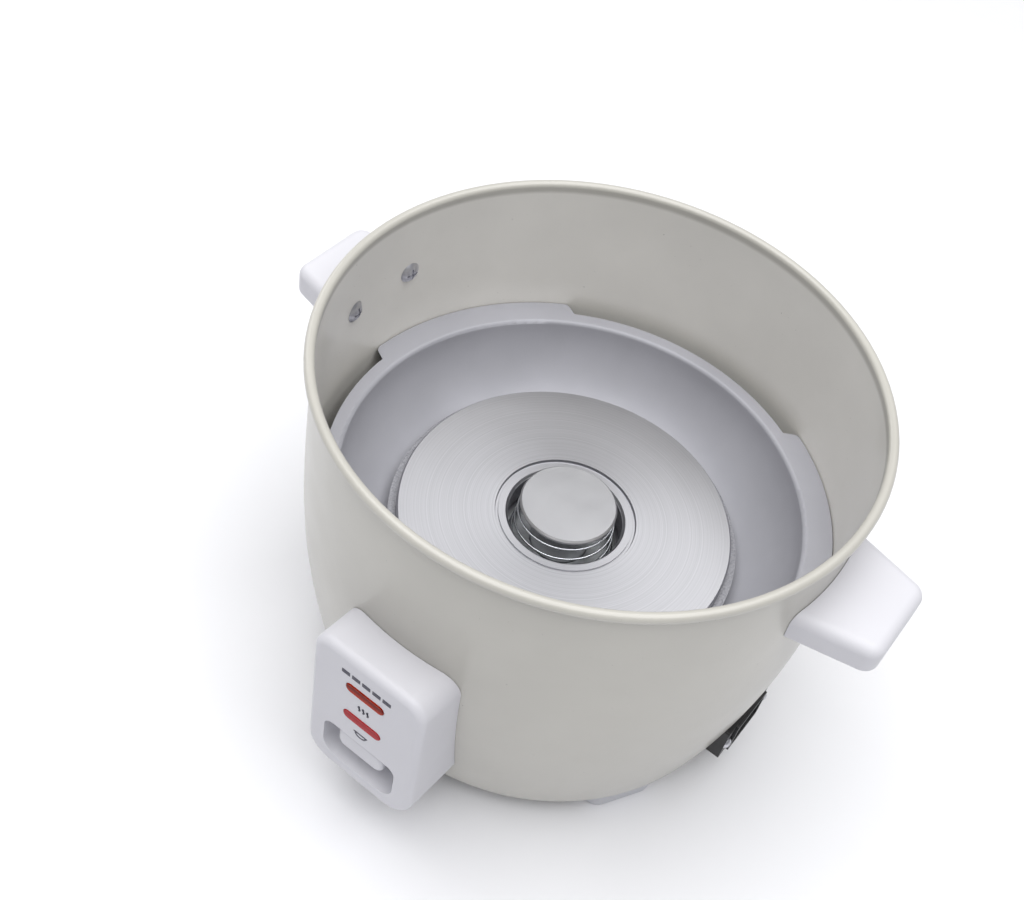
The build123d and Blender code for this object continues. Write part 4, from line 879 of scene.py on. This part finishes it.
@dataclass
class ControlBox:
    """The box on the front: its lamps and their lenses, its key and its plain symbols."""

    wardrobe: Wardrobe
    mark_width: float = 0.8 * MM
    badge_length: float = 25.0 * MM
    badge_bars: int = 5
    badge_pitch: float = 1.5
    badge_rows: int = 3
    badge_share: float = 0.42
    bowl_drop: float = 0.6 * MM
    brim_rise: float = 0.55 * MM
    curve_steps: int = 12
    symbol_size: float = 3.0 * MM
    ink: Finish = field(default_factory=lambda: Finish("dark_ink", (0.27, 0.27, 0.32), roughness=0.45,
                                                       tone_spread=0.05, grain_depth=0.01 * MM))

    def build(self) -> None:
        """Dress the box and print its symbols."""
        self.wardrobe.dress(Slot.WHITE_PLASTIC, "control_box", "cook_key")
        self.wardrobe.dress(Slot.AMBER_LENS, "warm_lens")
        self.wardrobe.dress(Slot.RED_LENS, "cook_lens")
        self.wardrobe.dress(Slot.LAMP_GLASS, "warm_lamp", "cook_lamp")
        self.wardrobe.dress(Slot.HOLDER_PLASTIC, "lamp_holder")
        self.wardrobe.dress(Slot.SCREW_STEEL, "control_box_screws")
        self.print_symbols()

    def print_symbols(self) -> None:
        """Put bars at the top, steam under the upper lens and a bowl under the lower one."""
        material = self.ink.material()
        face_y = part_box("control_box")[0].y
        warm = middle("warm_lens")
        cook = middle("cook_lens")
        key_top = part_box("cook_key")[1].z
        badge_z = warm.z + self.badge_share * (warm.z - cook.z)
        steam_z = (warm.z + cook.z) / 2
        bowl_z = (cook.z + key_top) / 2 - self.bowl_drop
        badge = PlainMark("plain_badge", warm.x, badge_z, self.badge_strokes(), self.mark_width)
        steam = PlainMark("keep_warm_mark", warm.x, steam_z, self.steam_strokes(), self.mark_width)
        bowl = PlainMark("cook_mark", cook.x, bowl_z, self.bowl_strokes(), self.mark_width)
        for mark in (badge, steam, bowl):
            piece = mark.build(face_y, material)
            log.info("%s printed at height %.1f mm", piece.name, mark.z / MM)

    def badge_strokes(self) -> list[list[tuple[float, float]]]:
        """Return a row of short plain bars, each a few strokes high."""
        half = self.badge_length / 2
        bar = self.badge_length / ((self.badge_bars - 1) * self.badge_pitch + 1)
        starts = [-half + i * bar * self.badge_pitch for i in range(self.badge_bars)]
        rows = [(row - (self.badge_rows - 1) / 2) * self.mark_width for row in range(self.badge_rows)]
        return [[(start, z), (start + bar * 0.5, z), (start + bar, z)] for start in starts for z in rows]

    def steam_strokes(self) -> list[list[tuple[float, float]]]:
        """Return three wavy upright lines."""
        tall = self.symbol_size
        waves = []
        for column in (-1, 0, 1):
            line = []
            for step in range(self.curve_steps + 1):
                share = step / self.curve_steps
                sway = 0.16 * tall * math.sin(math.tau * share)
                line.append((column * 0.75 * tall + sway, tall * (share - 0.5)))
            waves.append(line)
        return waves

    def bowl_strokes(self) -> list[list[tuple[float, float]]]:
        """Return a bowl's half round with a straight brim."""
        wide = self.symbol_size * 0.9
        turns = [math.pi * (1 + step / self.curve_steps) for step in range(self.curve_steps + 1)]
        half_round = [(wide * math.cos(t), wide * 0.75 * math.sin(t)) for t in turns]
        brim = [(x * wide, self.brim_rise) for x in (-1.25, 0.0, 1.25)]
        return [half_round, brim]


@dataclass
class SwitchWorks:
    """The lever that the key turns, its bracket, and the switch that it works."""

    wardrobe: Wardrobe

    def build(self) -> None:
        """Dress the works."""
        self.wardrobe.dress(Slot.GALVANISED_STEEL, "lever_bracket", "cook_lever")
        self.wardrobe.dress(Slot.SCREW_STEEL, "lever_pin", "bracket_screws", "switch_screws")
        self.wardrobe.dress(Slot.BLACK_PLASTIC, "switch_body")
        self.wardrobe.dress(Slot.RED_PLASTIC, "switch_plunger")
        self.wardrobe.dress(Slot.NICKEL_BRASS, "switch_terminals")


@dataclass
class Electrics:
    """The power inlet, the keep-warm thermostat and the thermal fuse."""

    wardrobe: Wardrobe

    def build(self) -> None:
        """Dress the electrics."""
        self.wardrobe.dress(Slot.BLACK_PLASTIC, "power_inlet", "keep_warm_thermostat")
        self.wardrobe.dress(Slot.NICKEL_BRASS, "inlet_pins")
        self.wardrobe.dress(Slot.GALVANISED_STEEL, "inlet_strap", "fuse_clip")
        self.wardrobe.dress(Slot.SCREW_STEEL, "inlet_screws", "warmer_screws")
        self.wardrobe.dress(Slot.FUSE_METAL, "thermal_fuse")


# -------------------------------------------------------------------------------- studio
@dataclass
class Viewpoint:
    """The camera: looks down over the control box, a little to its right."""

    azimuth: float = math.radians(23.6)
    elevation: float = math.radians(43.76)
    distance: float = 0.562
    pan: float = -0.0517
    tilt: float = -0.078
    roll: float = 0.2195
    lens: float = 47.34

    def build(self, target: Vector) -> bpy.types.Object:
        """Put the camera in the scene.

        Args:
            target: the middle of the body's rim.

        Returns:
            The camera.
        """
        turn = Matrix.Rotation(self.azimuth, 3, "Z")
        away = Vector((0, -math.cos(self.elevation), math.sin(self.elevation)))
        ahead = -away
        side = Vector((1, 0, 0))
        above = side.cross(ahead)
        look = (ahead * math.cos(self.pan) + side * math.sin(self.pan)) * math.cos(self.tilt)
        look += above * math.sin(self.tilt)
        flat_side = look.cross(Vector((0, 0, 1))).normalized()
        flat_above = flat_side.cross(look)
        right = flat_side * math.cos(self.roll) + flat_above * math.sin(self.roll)
        upright = flat_above * math.cos(self.roll) - flat_side * math.sin(self.roll)
        axes = Matrix((turn @ right, turn @ upright, turn @ -look)).transposed()
        data = bpy.data.cameras.new("viewpoint")
        data.lens = self.lens
        data.clip_start = 0.01
        data.clip_end = 50.0
        camera = bpy.data.objects.new("viewpoint", data)
        camera.matrix_world = Matrix.Translation(target + turn @ (away * self.distance)) @ axes.to_4x4()
        bpy.context.scene.collection.objects.link(camera)
        bpy.context.scene.camera = camera
        return camera


@dataclass
class Studio:
    """A plain pale floor under soft boxes and an even sky."""

    floor_half: float = 6.0
    floor_colour: Colour = (0.925, 0.925, 0.935)
    sky_colour: Colour = (0.97, 0.98, 1.0)
    sky_strength: float = 0.26

    def build(self, target: Vector) -> None:
        """Lay the floor, set the sky and hang the lights.

        Args:
            target: the point that the lights face.
        """
        self.lay_floor()
        self.set_sky()
        self.hang("overhead_box", Vector((0.1, -0.1, 2.2)), target, 2.8, 80.0)
        self.hang("left_box", Vector((-1.7, 0.5, 0.9)), target, 1.0, 6.0)
        bpy.context.scene.view_settings.view_transform = "Standard"

    def lay_floor(self) -> bpy.types.Object:
        """Make the floor as one large four-sided face, which isn't part of the cooker."""
        mesh = bmesh.new()
        half = self.floor_half
        corners = ((-half, -half, 0), (half, -half, 0), (half, half, 0), (-half, half, 0))
        mesh.faces.new([mesh.verts.new(corner) for corner in corners])
        data = bpy.data.meshes.new("floor")
        mesh.to_mesh(data)
        mesh.free()
        finish = Finish("floor_paint", self.floor_colour, roughness=0.55, tone_spread=0.004, tone_scale=3.0)
        data.materials.append(finish.material())
        floor = bpy.data.objects.new("floor", data)
        bpy.context.scene.collection.objects.link(floor)
        return floor

    def set_sky(self) -> None:
        """Set an even pale sky."""
        world = bpy.data.worlds.new("sky")
        world.use_nodes = True
        sky = world.node_tree.nodes["Background"]
        sky.inputs["Color"].default_value = linear(self.sky_colour)
        sky.inputs["Strength"].default_value = self.sky_strength
        bpy.context.scene.world = world

    def hang(self, name: str, place: Vector, target: Vector, size: float, power: float) -> bpy.types.Object:
        """Hang one soft box.

        Args:
            name: the light's name.
            place: where it hangs.
            target: what it faces.
            size: its side, in metres.
            power: its power, in watts.

        Returns:
            The light.
        """
        data = bpy.data.lights.new(name, "AREA")
        data.size = size
        data.energy = power
        light = bpy.data.objects.new(name, data)
        light.location = place
        light.rotation_euler = (target - place).to_track_quat("-Z", "Y").to_euler()
        bpy.context.scene.collection.objects.link(light)
        return light


def main() -> None:
    """Build each sub-assembly in order, then the studio and the camera."""
    logging.basicConfig(level=logging.INFO, format="%(name)s: %(message)s")
    low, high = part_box("outer_body")
    rim = Vector(((low.x + high.x) / 2, (low.y + high.y) / 2, high.z))
    Viewpoint().build(rim)
    wardrobe = Wardrobe()
    for part in (Casing(wardrobe), Hearth(wardrobe), ThermostatHead(wardrobe), ControlBox(wardrobe),
                 SwitchWorks(wardrobe), Electrics(wardrobe)):
        part.build()
        log.info("%s is done", type(part).__name__)
    Studio().build(rim)


if __name__ == "__main__":
    main()
